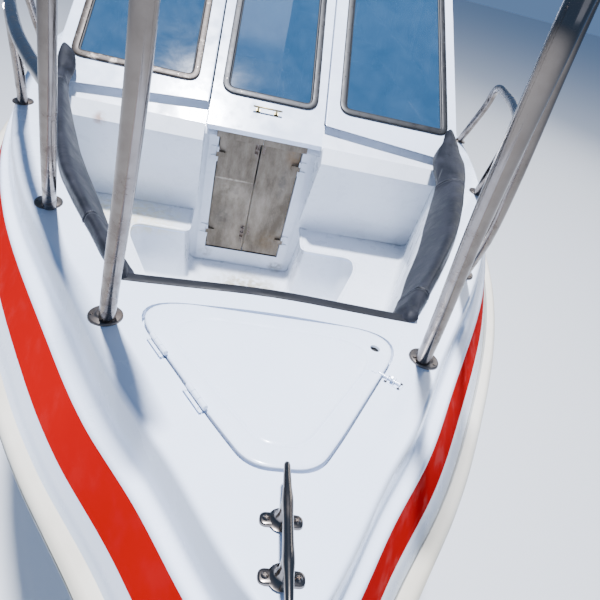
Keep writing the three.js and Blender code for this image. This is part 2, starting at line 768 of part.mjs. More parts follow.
// Cabin side, in its own plane: y along the boat, h up the leaning wall; zero depth is the outer face
const SIDE_FOOT = { x: 1035, z: 1090 };

function onSide(geometry) {
  const basis = new THREE.Matrix4().makeBasis(
    new THREE.Vector3(0, 1, 0),
    new THREE.Vector3(-Math.sin(SIDE_LEAN), 0, Math.cos(SIDE_LEAN)),
    new THREE.Vector3(Math.cos(SIDE_LEAN), 0, Math.sin(SIDE_LEAN)),
  );
  return geometry.clone().applyMatrix4(basis).translate(SIDE_FOOT.x, 0, SIDE_FOOT.z);
}

const SIDE_HIGH = (ROOF_Z - SIDE_FOOT.z) / Math.cos(SIDE_LEAN);
const FRONT_RUN = 1 / Math.tan(SCREEN_RISE);
const FRONT_BACK = SCREEN_FOOT.y + (SCREEN_THICK + GAP) / Math.sin(SCREEN_RISE);
const screenBackY = (z) => FRONT_BACK + (z - SCREEN_FOOT.z) * FRONT_RUN;
// Side windows. Columns: forward y, after y, at the sill; the first follows the windscreen's rake
const SIDE_WINDOWS = [
  [-760, -140, 330],
  [-40, 660, 0],
  [760, 1460, 0],
  [1560, 2160, 0],
];
const SILL_H = 200;
const HEAD_H = 680;

function cabinSide() {
  const outline = [
    [screenBackY(SIDE_FOOT.z), 0],
    [CABIN_AFT_Y + WALL, -130],
    [CABIN_AFT_Y + WALL, SIDE_HIGH - GAP],
    [screenBackY(ROOF_Z) + 2, SIDE_HIGH - GAP],
  ];
  const holes = SIDE_WINDOWS.map(([y0, y1, rake]) =>
    rounded([
      [y0, SILL_H, 60],
      [y1, SILL_H, 60],
      [y1, HEAD_H, 60],
      [y0 + rake, HEAD_H, 60],
    ]),
  );
  const wall = onSide(slab(outline, WALL, holes));
  const slot = onSide(slab(paneStrip(GAP), PANE + 2 * GAP, []).translate(0, 0, GAP - PANE_DEPTH));
  return cut(wall, slot);
}

// One tinted strip of glass runs behind the pillars of a side
const PANE_DEPTH = 10;
function paneStrip(grow) {
  const [first, last] = [SIDE_WINDOWS[0], SIDE_WINDOWS.at(-1)];
  const lap = 15 + grow;
  return [
    [first[0] - lap, SILL_H - lap],
    [last[1] + lap, SILL_H - lap],
    [last[1] + lap, HEAD_H + lap],
    [first[0] + first[2] - lap, HEAD_H + lap],
  ];
}

function sidePane() {
  return onSide(slab(paneStrip(0), PANE).translate(0, 0, -PANE_DEPTH));
}

// Roof: crowned, with a brow over the windscreen and a short overhang aft
const ROOF = { half: 1005, frontY: -560, aftY: 2450, crown: 70, thick: 42, edge: 24 };

function roof() {
  const rows = [
    [ROOF.frontY, 0.8, 0.25],
    [ROOF.frontY + 90, 0.93, 0.6],
    [ROOF.frontY + 300, 1, 0.9],
    [200, 1, 1],
    [ROOF.aftY - 200, 1, 0.95],
    [ROOF.aftY, 0.97, 0.75],
  ];
  const ACROSS = 8;
  return loft(
    rows.map(([y, wide, high]) => {
      const top = Array.from({ length: ACROSS + 1 }, (_, i) => {
        const t = (2 * i) / ACROSS - 1;
        return [ROOF.half * wide * t, y, ROOF_Z + ROOF.edge + ROOF.crown * high * (1 - t * t)];
      });
      const under = [
        [ROOF.half * wide, y, ROOF_Z + GAP],
        [-ROOF.half * wide, y, ROOF_Z + GAP],
      ];
      return [...top, ...under];
    }),
  );
}

// Floor of the cabin and the cockpit
function sole() {
  const half = CABIN_HALF - GAP;
  const from = BULKHEAD_Y + BULKHEAD_THICK + GAP;
  return box(-half, half, from, COCKPIT_AFT_Y - GAP, FLOOR_Z - SOLE_THICK, FLOOR_Z);
}

// Cabin back wall with its doorway
const DOORWAY = { half: 300, top: 1790 };

function cabinBack() {
  const half = CABIN_HALF - GAP;
  const lower = box(-half, half, CABIN_AFT_Y, CABIN_AFT_Y + WALL, FLOOR_Z + GAP, 1100);
  const inner = SIDE_FOOT.x - (WALL + 1) / Math.cos(SIDE_LEAN);
  const topX = inner - (ROOF_Z - SIDE_FOOT.z) * Math.tan(SIDE_LEAN);
  const upper = new THREE.ExtrudeGeometry(
    shapeOf([
      [-inner, SIDE_FOOT.z - 60],
      [inner, SIDE_FOOT.z - 60],
      [topX, ROOF_Z - GAP],
      [-topX, ROOF_Z - GAP],
    ]),
    { depth: WALL, bevelEnabled: false },
  )
    .rotateX(Math.PI / 2)
    .translate(0, CABIN_AFT_Y + WALL, 0);
  const doorway = box(-DOORWAY.half, DOORWAY.half, CABIN_AFT_Y - 5, CABIN_AFT_Y + WALL + 5, 0, DOORWAY.top);
  const whole = cut(join(lower, onDeck(upper)), doorway);
  return whole;
}

// Seats: one bench on each side in each row
const SEAT_PITCH = 720;
const SEAT_INNER = 260;
const SEAT_OUTER = 955;
const SEAT_FROM = -560;
const SEAT_ROWS = [0, 1, 2, 3].map((i) => SEAT_FROM + i * SEAT_PITCH);

function seat(y) {
  const profile = rounded([
    [y + 60, FLOOR_Z + GAP, 0],
    [y + 470, FLOOR_Z + GAP, 0],
    [y + 590, FLOOR_Z + 960, 0],
    [y + 560, FLOOR_Z + 985, 0],
    [y + 500, FLOOR_Z + 970, 30],
    [y + 400, FLOOR_Z + 440, 20],
    [y, FLOOR_Z + 450, 40],
    [y, FLOOR_Z + 340, 20],
    [y + 60, FLOOR_Z + 330, 0],
  ]);
  return across(profile, SEAT_INNER, SEAT_OUTER);
}

// Helm: a console under the starboard windscreen, with the wheel on a raked shaft
const CONSOLE = { x0: -900, x1: -360, y0: -1380, y1: -1130, kneeY: -1070, kneeZ: 980, top: 1120 };
const WHEEL = { x: -610, y: -985, z: 1060, r: 185, rim: 14, tilt: THREE.MathUtils.degToRad(60) };

function helmConsole() {
  const profile = [
    [CONSOLE.y0, FLOOR_Z + GAP],
    [CONSOLE.y1, FLOOR_Z + GAP],
    [CONSOLE.kneeY, CONSOLE.kneeZ],
    [CONSOLE.kneeY - (CONSOLE.top - CONSOLE.kneeZ) / Math.tan(WHEEL.tilt), CONSOLE.top],
    [CONSOLE.y0, CONSOLE.top],
  ];
  return across(profile, CONSOLE.x0, CONSOLE.x1);
}

function steeringWheel() {
  const rim = new THREE.TorusGeometry(WHEEL.r, WHEEL.rim, 8, 28);
  const hub = cylinder(38, 40, 20);
  const toPanelY = (WHEEL.y - CONSOLE.kneeY) * Math.sin(WHEEL.tilt);
  const toPanelZ = (WHEEL.z - CONSOLE.kneeZ) * Math.cos(WHEEL.tilt);
  const reachOfShaft = toPanelY + toPanelZ - GAP;
  const shaft = moved(cylinder(16, reachOfShaft, 16), 0, 0, -reachOfShaft / 2);
  const spokes = [90, 210, 330].map((deg) => {
    const a = THREE.MathUtils.degToRad(deg);
    return box(20, WHEEL.r - 4, -13, 13, -6, 6).rotateZ(a);
  });
  return join(rim, hub, shaft, ...spokes)
    .rotateX(-WHEEL.tilt)
    .translate(WHEEL.x, WHEEL.y, WHEEL.z);
}

// Bulkhead door leaves, between the jambs
const LEAF_THICK = 10;
const LEAF_GAP = 4; // from the middle, so that the leaves pass each other
// Each leaf hangs on two hinges in front of the jamb's face
const DOOR_PIN = { x: 219, y: BULKHEAD_Y - JAMB.proud - HINGE.radius - HINGE.lift, heights: [400, 870] };
const doorHinges = DOOR_PIN.heights.map((z) =>
  hingeFrame([DOOR_PIN.x, DOOR_PIN.y, z], [0, 0, 1], [-1, 0, 0]),
);
const JAMB_STRAP = [-34, 0, STRAP_FOOT, -2];
const LEAF_STRAPS = [
  [0, 12, -4, 1],
  [9, 40, DOOR_PIN.y - BULKHEAD_Y - HINGE.sink, 1],
];

function doorLeaf() {
  const outline = [
    [LEAF_GAP, DOOR.z0 + 5],
    [DOOR.halfBottom - CLEAR, DOOR.z0 + 5],
    [DOOR.halfTop - CLEAR, DOOR.z1 - 5],
    [LEAF_GAP, DOOR.z1 - 5],
  ];
  const leaf = new THREE.ExtrudeGeometry(shapeOf(outline), { depth: LEAF_THICK, bevelEnabled: false })
    .rotateX(Math.PI / 2)
    .translate(0, BULKHEAD_Y + LEAF_THICK, 0);
  return join(leaf, ...doorHinges.flatMap((hinge) => knuckles(hinge, MOVING, LEAF_STRAPS)));
}

// Cabin bulkhead with the doorway, its jamb, the sill and the overhanging ledges at the windscreen's foot
const LEDGE = { noseY: -1645, noseZ: 1000, lip: 14 };
const underScreen = (y, gap) =>
  SCREEN_FOOT.z + (y - SCREEN_FOOT.y) * Math.tan(SCREEN_RISE) - (SCREEN_THICK + gap) / Math.cos(SCREEN_RISE);
// A point on the screen's section: v up the slope, deep under its outer face
const screenPoint = (v, deep) => [
  SCREEN_FOOT.y + v * Math.cos(SCREEN_RISE) + deep * Math.sin(SCREEN_RISE),
  SCREEN_FOOT.z + v * Math.sin(SCREEN_RISE) - deep * Math.cos(SCREEN_RISE),
];

function bulkhead() {
  const half = CABIN_HALF - GAP;
  const top = SCREEN_FOOT.z + 18;
  const plate = box(-half, half, BULKHEAD_Y, BULKHEAD_Y + BULKHEAD_THICK, FLOOR_Z - SOLE_THICK, top);
  const opening = [
    [-DOOR.halfBottom, DOOR.z0],
    [DOOR.halfBottom, DOOR.z0],
    [DOOR.halfTop, DOOR.z1],
    [-DOOR.halfTop, DOOR.z1],
  ];
  const wide = JAMB.wide;
  const jambOutline = [
    [-DOOR.halfBottom - wide, DOOR.z0 - 80],
    [DOOR.halfBottom + wide, DOOR.z0 - 80],
    [DOOR.halfTop + wide, DOOR.z1 + 50],
    [-DOOR.halfTop - wide, DOOR.z1 + 50],
  ];
  const upright = (outline, y0, y1) =>
    new THREE.ExtrudeGeometry(shapeOf(outline), { depth: y1 - y0, bevelEnabled: false })
      .rotateX(Math.PI / 2)
      .translate(0, y1, 0);
  const jamb = upright(jambOutline, BULKHEAD_Y - JAMB.proud, BULKHEAD_Y + 5);
  const ledge = across(
    [
      [BULKHEAD_Y + 5, BENCH_Z + 20],
      [BULKHEAD_Y + 5, underScreen(BULKHEAD_Y + 5, GAP)],
      screenPoint(SCREEN_FROM - GAP, SCREEN_THICK + GAP),
      screenPoint(SCREEN_FROM - GAP, 3),
      [LEDGE.noseY, LEDGE.noseZ],
      [LEDGE.noseY + 4, LEDGE.noseZ - LEDGE.lip],
    ],
    SIDE_FROM,
    half,
  );
  const header = across(
    [
      [BULKHEAD_Y + 5, DOOR.z1 + 4],
      [BULKHEAD_Y + 5, underScreen(BULKHEAD_Y + 5, 3 * CLEAR)],
      [SCREEN_FOOT.y + 12, underScreen(SCREEN_FOOT.y + 12, 3 * CLEAR)],
      [SCREEN_FOOT.y + 4, SCREEN_FOOT.z - 90],
      [BULKHEAD_Y - 37, DOOR.z1 + 4],
    ],
    -SIDE_FROM,
    SIDE_FROM,
  );
  const hole = upright(opening, BULKHEAD_Y - 60, BULKHEAD_Y + BULKHEAD_THICK + 10);
  const side = common(ledge, wellSpace(-GAP, FLOOR_Z, BULKHEAD_Y + 5));
  const hung = doorHinges.flatMap((hinge) => knuckles(hinge, FIXED, [JAMB_STRAP]));
  return join(cut(join(plate, jamb, header, side, mirrored(side)), hole), ...hung, ...hung.map(mirrored));
}

// Outboard motor. Heights are above the waterline, y is aft
const CLAMP = { half: 110, thick: 50, low: 20, innerLow: 255, top: 335, wrap: 40 };
const EAR = { from: 95, to: 125, reach: 35, back: 40 };
const TILT = { y: 3880, z: 400 };
const STEER_Y = 3930;
const PROP = { y: 4330, z: -620 };
const TORPEDO_END = 4285;
const HOUSING_TOP = TILT.z + 139;
const PIN_PLAY = 0.5; // round a pin in its bore
const TILT_PIN_R = 22;
const STEER_PIN_R = 23;

// The clamp hooks over the transom's notch, and its two ears carry the tilt tube
function motorBracket() {
  const { half, thick, low, innerLow, top, wrap } = CLAMP;
  const innerFace = TRANSOM_Y - NOTCH.wall;
  const inner = box(-half, half, innerFace - wrap, innerFace - GAP, innerLow, top);
  const hook = box(-half, half, innerFace - wrap, TRANSOM_Y + thick, NOTCH.z + GAP, top);
  const outer = box(-half, half, TRANSOM_Y + GAP, TRANSOM_Y + thick, low, top);
  const ear = across(
    [
      [TRANSOM_Y + 20, 240],
      [TILT.y + EAR.reach, TILT.z - 30],
      [TILT.y + EAR.reach, TILT.z + EAR.reach],
      [TILT.y - EAR.back, TILT.z + EAR.reach],
      [TRANSOM_Y + 20, top],
    ],
    EAR.from,
    EAR.to,
  );
  const bore = cylinder(TILT_PIN_R + PIN_PLAY, 400).rotateY(Math.PI / 2).translate(0, TILT.y, TILT.z);
  return cut(join(inner, hook, outer, ear, mirrored(ear)), bore);
}

const SWIVEL = { half: 40, neck: 85, tube: 260, low: -150 };

function swivelBracket() {
  const { half, neck: neckHalf, tube: tubeLength, low } = SWIVEL;
  const tiltTube = cylinder(TILT_PIN_R, tubeLength).rotateY(Math.PI / 2).translate(0, TILT.y, TILT.z);
  const block = box(-half, half, TILT.y + 8, STEER_Y + 30, low, TILT.z + 45);
  const neck = box(-neckHalf, neckHalf, TILT.y - 28, TILT.y + 30, TILT.z - 35, TILT.z + 35);
  const bore = moved(cylinder(STEER_PIN_R + PIN_PLAY, 900), 0, STEER_Y, 100);
  return cut(join(tiltTube, block, neck), bore);
}

const HOUSING = { half: 75, from: STEER_Y + 55, to: 4190, low: -360 };
const PLATE = { half: 125, from: 3930, to: 4370, low: -378, high: -366 }; // over the propeller

function motorLeg() {
  const pin = moved(cylinder(STEER_PIN_R, 720), 0, STEER_Y, 165);
  const topYoke = box(-55, 55, STEER_Y - 40, HOUSING.from + 20, TILT.z + 52, TILT.z + 95);
  const lowYoke = box(-50, 50, STEER_Y - 36, HOUSING.from + 20, -205, -157);
  const housing = box(-HOUSING.half, HOUSING.half, HOUSING.from, HOUSING.to, HOUSING.low, HOUSING_TOP);
  const plate = prism(roundedRect(-PLATE.half, PLATE.half, PLATE.from, PLATE.to, 60), PLATE.low, PLATE.high);
  const strut = prism(
    rounded([
      [-38, 3960, 30],
      [38, 3960, 30],
      [45, 4060, 0],
      [20, 4260, 0],
      [-20, 4260, 0],
      [-45, 4060, 0],
    ]),
    PROP.z,
    -355,
  );
  const torpedo = new THREE.LatheGeometry(
    [
      [0, 3900],
      [35, 3930],
      [60, 4000],
      [62, 4150],
      [48, TORPEDO_END],
      [0, TORPEDO_END],
    ].map(([r, h]) => new THREE.Vector2(r, h)),
    18,
  ).translate(0, 0, PROP.z);
  const skeg = across(
    [
      [3990, PROP.z - 30],
      [4180, PROP.z - 30],
      [4200, PROP.z - 220],
      [4100, PROP.z - 220],
    ],
    -7,
    7,
  );
  return join(housing, pin, topYoke, lowYoke, plate, strut, torpedo, skeg);
}

const COWL_FOOT = HOUSING_TOP + GAP;

function motorCowl() {
  const ring = (grow, z, back = 0) =>
    rounded([
      [-150 - grow, 3890 - grow + back, 60],
      [150 + grow, 3890 - grow + back, 60],
      [205 + grow, 4120, 90],
      [170 + grow, 4390 + grow, 90],
      [-170 - grow, 4390 + grow, 90],
      [-205 - grow, 4120, 90],
    ]).map(([x, y]) => [x, y, z]);
  const foot = [ring(-40, COWL_FOOT), ring(0, COWL_FOOT + 60)];
  const crown = [ring(0, 860), ring(-25, 940, 10), ring(-80, 985, 30)];
  return loft([...foot, ...crown]);
}

const BLADES = 3;

function propeller() {
  const hub = new THREE.LatheGeometry(
    [
      [0, TORPEDO_END + GAP],
      [46, TORPEDO_END + GAP],
      [42, PROP.y + 60],
      [0, PROP.y + 70],
    ].map(([r, h]) => new THREE.Vector2(r, h)),
    18,
  );
  const blade = new THREE.ExtrudeGeometry(
    shapeOf(
      rounded([
        [30, -28, 0],
        [110, -80, 40],
        [188, -45, 40],
        [188, 50, 40],
        [110, 78, 40],
        [30, 28, 0],
      ]),
    ),
    { depth: 8, bevelEnabled: false },
  )
    .translate(0, 0, -4)
    .rotateX(THREE.MathUtils.degToRad(28 - 90))
    .translate(0, PROP.y + 8, 0);
  const blades = Array.from({ length: BLADES }, (_, i) => blade.clone().rotateY((i * 2 * Math.PI) / BLADES));
  return join(hub, ...blades).translate(0, 0, PROP.z);
}

const boat = new THREE.Group();
function add(name, geometry, material) {
  const mesh = new THREE.Mesh(geometry, material);
  mesh.name = name;
  boat.add(mesh);
  return mesh;
}

function addPair(name, geometry, material, seated = (g) => g) {
  add(name + "_port", seated(geometry), material);
  add(name + "_starboard", seated(mirrored(geometry)), material);
}

add("hull", hull(), WHITE);
add("deck", deck(), WHITE);
add("rub_rail", rubRail(), CREAM);
add("well_liner", wellLiner(), WHITE);
add("bulkhead", bulkhead(), WHITE);
add("hatch_lid", hatchLid(), WHITE);
addPair("door", doorLeaf(), DOOR_METAL);
addPair("coaming_pad", coamingPad(), VINYL);
addPair("bow_rail", bowRail(), STEEL, (g) => onDeck(leaned(g)));
add("bow_cleat", onDeck(cleat(-11, -3735, 250, 94, -0.04)), STEEL);
addPair("stern_cleat", cleat(1120, 3500, 220, 75), STEEL, onDeck);

addPair("windscreen", onScreen(screenPanel(SIDE_PANEL, SIDE_WINDOW)), WHITE, onDeck);
add("windscreen_centre", onScreen(centrePanel()), WHITE);
add("screen_header", onScreen(screenHeader()), WHITE);
addPair("window_frame", onScreen(windowFrame(SIDE_WINDOW)), BRONZE);
add("window_frame_centre", onScreen(windowFrame(CENTRE_WINDOW)), BRONZE);
addPair("window_glass", onScreen(windowPane(SIDE_WINDOW)), GLASS);
add("window_glass_centre", onScreen(windowPane(CENTRE_WINDOW)), GLASS);

addPair("cabin_side", cabinSide(), WHITE, onDeck);
addPair("side_glass", sidePane(), GLASS);
add("roof", roof(), WHITE);
add("cabin_back", cabinBack(), WHITE);
add("sole", sole(), FLOOR);

SEAT_ROWS.forEach((y, i) => addPair("seat_row_" + (i + 1), seat(y), SEAT));
add("helm_console", helmConsole(), WHITE);
add("steering_wheel", steeringWheel(), BLACK);

add("motor_bracket", motorBracket(), ALLOY);
add("motor_swivel", swivelBracket(), ALLOY);
add("motor_leg", motorLeg(), ALLOY);
add("motor_cowl", motorCowl(), MOTOR);
add("propeller", propeller(), ALLOY);

export default boat;
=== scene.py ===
# %% [markdown]
# # A passenger speedboat
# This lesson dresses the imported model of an 8 m passenger speedboat: white gelcoat mouldings, a red stripe,
# padded coaming rolls round the bow well, stainless rails, a glazed cabin and one outboard motor.
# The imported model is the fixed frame. Everything here is in metres and sits where the frame says.

# %% Load the frame
import math
import bmesh
import bpy
from mathutils import Matrix, Vector, noise


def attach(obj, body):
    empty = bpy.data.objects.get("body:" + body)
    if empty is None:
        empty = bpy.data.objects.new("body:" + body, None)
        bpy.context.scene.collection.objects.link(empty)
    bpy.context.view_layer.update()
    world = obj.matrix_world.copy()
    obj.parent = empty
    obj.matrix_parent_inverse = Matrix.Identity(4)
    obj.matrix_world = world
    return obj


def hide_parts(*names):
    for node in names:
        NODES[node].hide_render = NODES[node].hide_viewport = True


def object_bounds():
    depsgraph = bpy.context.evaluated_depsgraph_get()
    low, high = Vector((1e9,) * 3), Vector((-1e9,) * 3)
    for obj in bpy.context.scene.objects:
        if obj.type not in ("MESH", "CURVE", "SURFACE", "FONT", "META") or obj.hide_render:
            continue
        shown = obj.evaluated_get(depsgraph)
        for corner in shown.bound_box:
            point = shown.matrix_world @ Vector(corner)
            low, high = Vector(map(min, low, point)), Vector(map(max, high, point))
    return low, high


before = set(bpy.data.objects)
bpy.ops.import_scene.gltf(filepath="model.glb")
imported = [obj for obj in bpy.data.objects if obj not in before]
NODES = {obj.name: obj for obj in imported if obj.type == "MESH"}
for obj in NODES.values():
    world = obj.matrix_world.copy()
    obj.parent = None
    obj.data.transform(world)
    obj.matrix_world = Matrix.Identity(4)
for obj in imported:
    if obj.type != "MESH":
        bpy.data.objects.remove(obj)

cad_low, cad_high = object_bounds()
MM = 0.001
SIDES = ((1, "port"), (-1, "starboard"))
ACROSS, UPWARD = Vector((1, 0, 0)), Vector((0, 0, 1))
print("frame box", [round(c, 3) for c in cad_high - cad_low])

# %% [markdown]
# ## The camera
# The photo was taken from over the bow, looking down and aft, with the camera tilted. Its place and three
# angles were worked out from the photo, and the lens follows from the focal length in pixels.

# %% Camera
CAMERA_AT = Vector((-0.1845, -4.136, 2.0407))
YAW, PITCH, ROLL = (math.radians(a) for a in (12.9, 36.7, 16.4))
FOCAL_PIXELS, FRAME_PIXELS, SENSOR = 532.6, 600, 36.0
ahead = Vector((math.sin(YAW) * math.cos(PITCH), math.cos(YAW) * math.cos(PITCH), -math.sin(PITCH)))
level = Vector((math.cos(YAW), -math.sin(YAW), 0))
right = level * math.cos(ROLL) + level.cross(ahead) * math.sin(ROLL)
up = right.cross(ahead)
camera_data = bpy.data.cameras.new("photo_camera")
camera_data.sensor_width = SENSOR
camera_data.lens = SENSOR * FOCAL_PIXELS / FRAME_PIXELS
camera = bpy.data.objects.new("photo_camera", camera_data)
bpy.context.scene.collection.objects.link(camera)
camera.matrix_world = Matrix.Translation(CAMERA_AT) @ Matrix((right, up, -ahead)).transposed().to_4x4()
bpy.context.scene.camera = camera
print("lens", round(camera_data.lens, 2), "mm")

# %% [markdown]
# ## Making meshes
# Most pieces are made the same few ways. A moulded part is a copy of its frame node with the triangles merged
# and the hard edges rounded, because nothing laid up in a mould has a knife edge. A rail or a trim is a
# section swept along a path. A loft is a skin over rows of points.

# %% Small helpers
def mm(*values):
    """A point or a way given in millimetres."""
    return Vector(values) * MM


def mesh_object(name, mesh):
    made = bpy.data.objects.new(name, mesh)
    bpy.context.scene.collection.objects.link(made)
    return made


def from_faces(name, points, faces, smooth_angle=40, numbers=None):
    """A mesh object with its doubles merged and its faces pointing out; 'numbers' are material numbers."""
    mesh = bpy.data.meshes.new(name)
    mesh.from_pydata([tuple(p) for p in points], [], faces)
    if numbers:
        mesh.polygons.foreach_set("material_index", numbers)
    mesh.validate()
    tidy = bmesh.new()
    tidy.from_mesh(mesh)
    bmesh.ops.remove_doubles(tidy, verts=tidy.verts, dist=1e-5)
    bmesh.ops.recalc_face_normals(tidy, faces=tidy.faces)
    tidy.to_mesh(mesh)
    tidy.free()
    soften(mesh, smooth_angle)
    return mesh_object(name, mesh)


def soften(mesh, angle):
    mesh.shade_smooth()
    mesh.set_sharp_from_angle(angle=math.radians(angle))


def keep(piece, paint, body, slot, *nodes):
    """The piece is painted, rides on a body and stands for the frame's nodes. Its 'slot' is not used.
    Paint is None on a piece that carries its finishes already."""
    if paint:
        painted(piece, paint)
    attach(piece, body)
    if nodes:
        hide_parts(*nodes)
    print(piece.name, len(piece.data.polygons), "faces on", body)
    return piece


def applied(piece):
    """The piece with its modifiers made real."""
    view = bpy.context.evaluated_depsgraph_get()
    real = bpy.data.meshes.new_from_object(piece.evaluated_get(view))
    piece.modifiers.clear()
    piece.data = real
    return piece


# %% A moulded copy of a frame node
SMALL_EDGE = 12  # edges of hinges and knuckles are shorter than this, mm


def moulded(name, node, round_mm, least=40, shortest=SMALL_EDGE):
    """Copies a node, merges its triangles and rounds long edges that turn by more than 'least' degrees."""
    body = bmesh.new()
    body.from_mesh(NODES[node].data)
    bmesh.ops.remove_doubles(body, verts=body.verts, dist=0.02 * MM)
    bmesh.ops.dissolve_limit(body, angle_limit=math.radians(0.6), verts=body.verts, edges=body.edges,
            delimit={"MATERIAL"})
    hard = []
    for edge in body.edges:
        if not edge.is_manifold or edge.calc_face_angle() < math.radians(least):
            continue
        if edge.calc_length() >= shortest * MM:
            hard.append(edge)
    if hard and round_mm:
        bmesh.ops.bevel(
            body, geom=hard, offset=round_mm * MM, offset_type="OFFSET", segments=3,
            profile=0.5, affect="EDGES", clamp_overlap=True, miter_outer="ARC",
        )
    mesh = bpy.data.meshes.new(name)
    body.to_mesh(mesh)
    body.free()
    soften(mesh, 32)
    made = mesh_object(name, mesh)
    weigh = made.modifiers.new("weigh", "WEIGHTED_NORMAL")
    weigh.keep_sharp = True
    return applied(made)


# %% Sweeps
def spline_points(points, steps, closed=False):
    """A Catmull-Rom line through the points, centripetal as the source draws it."""
    pts = [Vector(p) for p in points]
    count = len(pts)
    spans = count if closed else count - 1
    out = []
    for i in range(spans):
        p1, p2 = pts[i], pts[(i + 1) % count]
        p0 = pts[i - 1] if closed or i > 0 else p1 * 2 - p2
        p3 = pts[(i + 2) % count] if closed or i + 2 < count else p2 * 2 - p1
        for k in range(steps):
            out.append(centripetal(p0, p1, p2, p3, k / steps))
    if not closed:
        out.append(pts[-1].copy())
    return out


def centripetal(p0, p1, p2, p3, share):
    gaps = [max(1e-9, (b - a).length) ** 0.5 for a, b in ((p0, p1), (p1, p2), (p2, p3))]
    d0, d1, d2 = gaps
    t1 = ((p1 - p0) / d0 - (p2 - p0) / (d0 + d1) + (p2 - p1) / d1) * d1
    t2 = ((p2 - p1) / d1 - (p3 - p1) / (d1 + d2) + (p3 - p2) / d2) * d1
    a = p1 * 2 - p2 * 2 + t1 + t2
    b = p1 * -3 + p2 * 3 - t1 * 2 - t2
    return ((a * share + b) * share + t1) * share + p1


def circle(radius, sides):
    return [(radius * math.cos(2 * math.pi * i / sides), radius * math.sin(2 * math.pi * i / sides))
            for i in range(sides)]


def sweep(name, path, section, closed=False, upward=UPWARD, smooth_angle=40, fixed_up=False):
    """Sweeps a closed section in mm along a path in metres; its second axis stays near 'upward'."""
    section = [(x * MM, y * MM) for x, y in section]
    count = len(path)
    rings = []
    side = None
    for i, at in enumerate(path):
        before = path[i - 1] if closed or i > 0 else at
        after = path[(i + 1) % count] if closed or i + 1 < count else at
        along = (after - before).normalized()
        if side is None or fixed_up:
            side = along.cross(upward).normalized()
        else:
            side = (side - along * side.dot(along)).normalized()
        over = side.cross(along).normalized()
        rings.append([at + side * x + over * y for x, y in section])
    return skin(name, rings, closed, smooth_angle)


def skin(name, rings, closed=False, smooth_angle=40, capped=True, band=()):
    """Quads between rings of equal count, the rings closed on themselves. 'band' lists the segments of a
    ring that take the second material."""
    n = len(rings[0])
    points = [p for ring in rings for p in ring]
    faces = []
    last = len(rings) if closed else len(rings) - 1
    for r in range(last):
        a, b = r * n, ((r + 1) % len(rings)) * n
        for i in range(n):
            j = (i + 1) % n
            faces.append((a + i, a + j, b + j, b + i))
    numbers = [int(i % n in band) for i in range(len(faces))]
    if not closed and capped:
        faces.append(tuple(range(n))[::-1])
        faces.append(tuple((len(rings) - 1) * n + i for i in range(n)))
        numbers += [0, 0]
    return from_faces(name, points, faces, smooth_angle, numbers)


def joined(name, pieces, smooth_angle=None):
    """Several objects as one mesh, their materials kept."""
    whole = bmesh.new()
    slots = []
    for piece in pieces:
        first = len(whole.faces)
        whole.from_mesh(piece.data)
        whole.faces.ensure_lookup_table()
        materials = list(piece.data.materials)
        for m in materials:
            if m not in slots:
                slots.append(m)
        for face in whole.faces[first:]:
            if materials:
                face.material_index = slots.index(materials[min(face.material_index, len(materials) - 1)])
    mesh = bpy.data.meshes.new(name)
    whole.to_mesh(mesh)
    whole.free()
    for m in slots:
        mesh.materials.append(m)
    for piece in pieces:
        bpy.data.objects.remove(piece)
    if smooth_angle:
        soften(mesh, smooth_angle)
    return mesh_object(name, mesh)


def turned_over(piece):
    """The piece moved to the starboard side as its mirror image."""
    piece.data.transform(Matrix.Scale(-1, 4, ACROSS))
    piece.data.flip_normals()


def painted(piece, *materials):
    if piece.data.materials:
        piece.data.materials.clear()
    for m in materials:
        piece.data.materials.append(m)
    return piece


def block(name, low, high, round_mm=2, segments=3):
    """A box with rounded edges, from two corners in mm."""
    body = bmesh.new()
    bmesh.ops.create_cube(body, size=1)
    low, high = Vector(low) * MM, Vector(high) * MM
    for v in body.verts:
        v.co = Vector((low[k] + (v.co[k] + 0.5) * (high[k] - low[k]) for k in range(3)))
    if round_mm:
        bmesh.ops.bevel(body, geom=list(body.edges), offset=round_mm * MM, segments=segments, profile=0.5,
                affect="EDGES", clamp_overlap=True)
    mesh = bpy.data.meshes.new(name)
    body.to_mesh(mesh)
    body.free()
    soften(mesh, 40)
    return mesh_object(name, mesh)


def turned(name, profile, sides=24, axis=UPWARD, at=Vector((0, 0, 0)), smooth_angle=35):
    """A turned piece: profile rows are (radius, height) in mm, along the axis from 'at' in metres."""
    turn = UPWARD.rotation_difference(Vector(axis)).to_matrix()
    points, faces = [], []
    for radius, height in ((r * MM, h * MM) for r, h in profile):
        for i in range(sides):
            a = 2 * math.pi * i / sides
            points.append(turn @ Vector((radius * math.cos(a), radius * math.sin(a), height)) + Vector(at))
    for r in range(len(profile) - 1):
        for i in range(sides):
            j = (i + 1) % sides
            faces.append((r * sides + i, r * sides + j, (r + 1) * sides + j, (r + 1) * sides + i))
    faces.append(tuple(range(sides))[::-1])
    faces.append(tuple((len(profile) - 1) * sides + i for i in range(sides)))
    return from_faces(name, points, faces, smooth_angle)


# %% [markdown]
# ## Finishes
# Each finish is named for the real surface. One function turns an sRGB hex colour to linear light and one
# adds a shader node with its settings and links. Patterns read Object coordinates, and since every piece
# sits at the origin, those are metres in the boat's own frame, so scales are real sizes.

# %% Colour and node helpers
def linear(hex_colour, alpha=1.0):
    parts = [int(hex_colour[i:i + 2], 16) / 255 for i in (1, 3, 5)]
    return tuple(c / 12.92 if c <= 0.04045 else ((c + 0.055) / 1.055) ** 2.4 for c in parts) + (alpha,)


def live(value):
    """A node stands for its first live output; any other value stays as it is."""
    return next(s for s in value.outputs if s.enabled) if isinstance(value, bpy.types.Node) else value


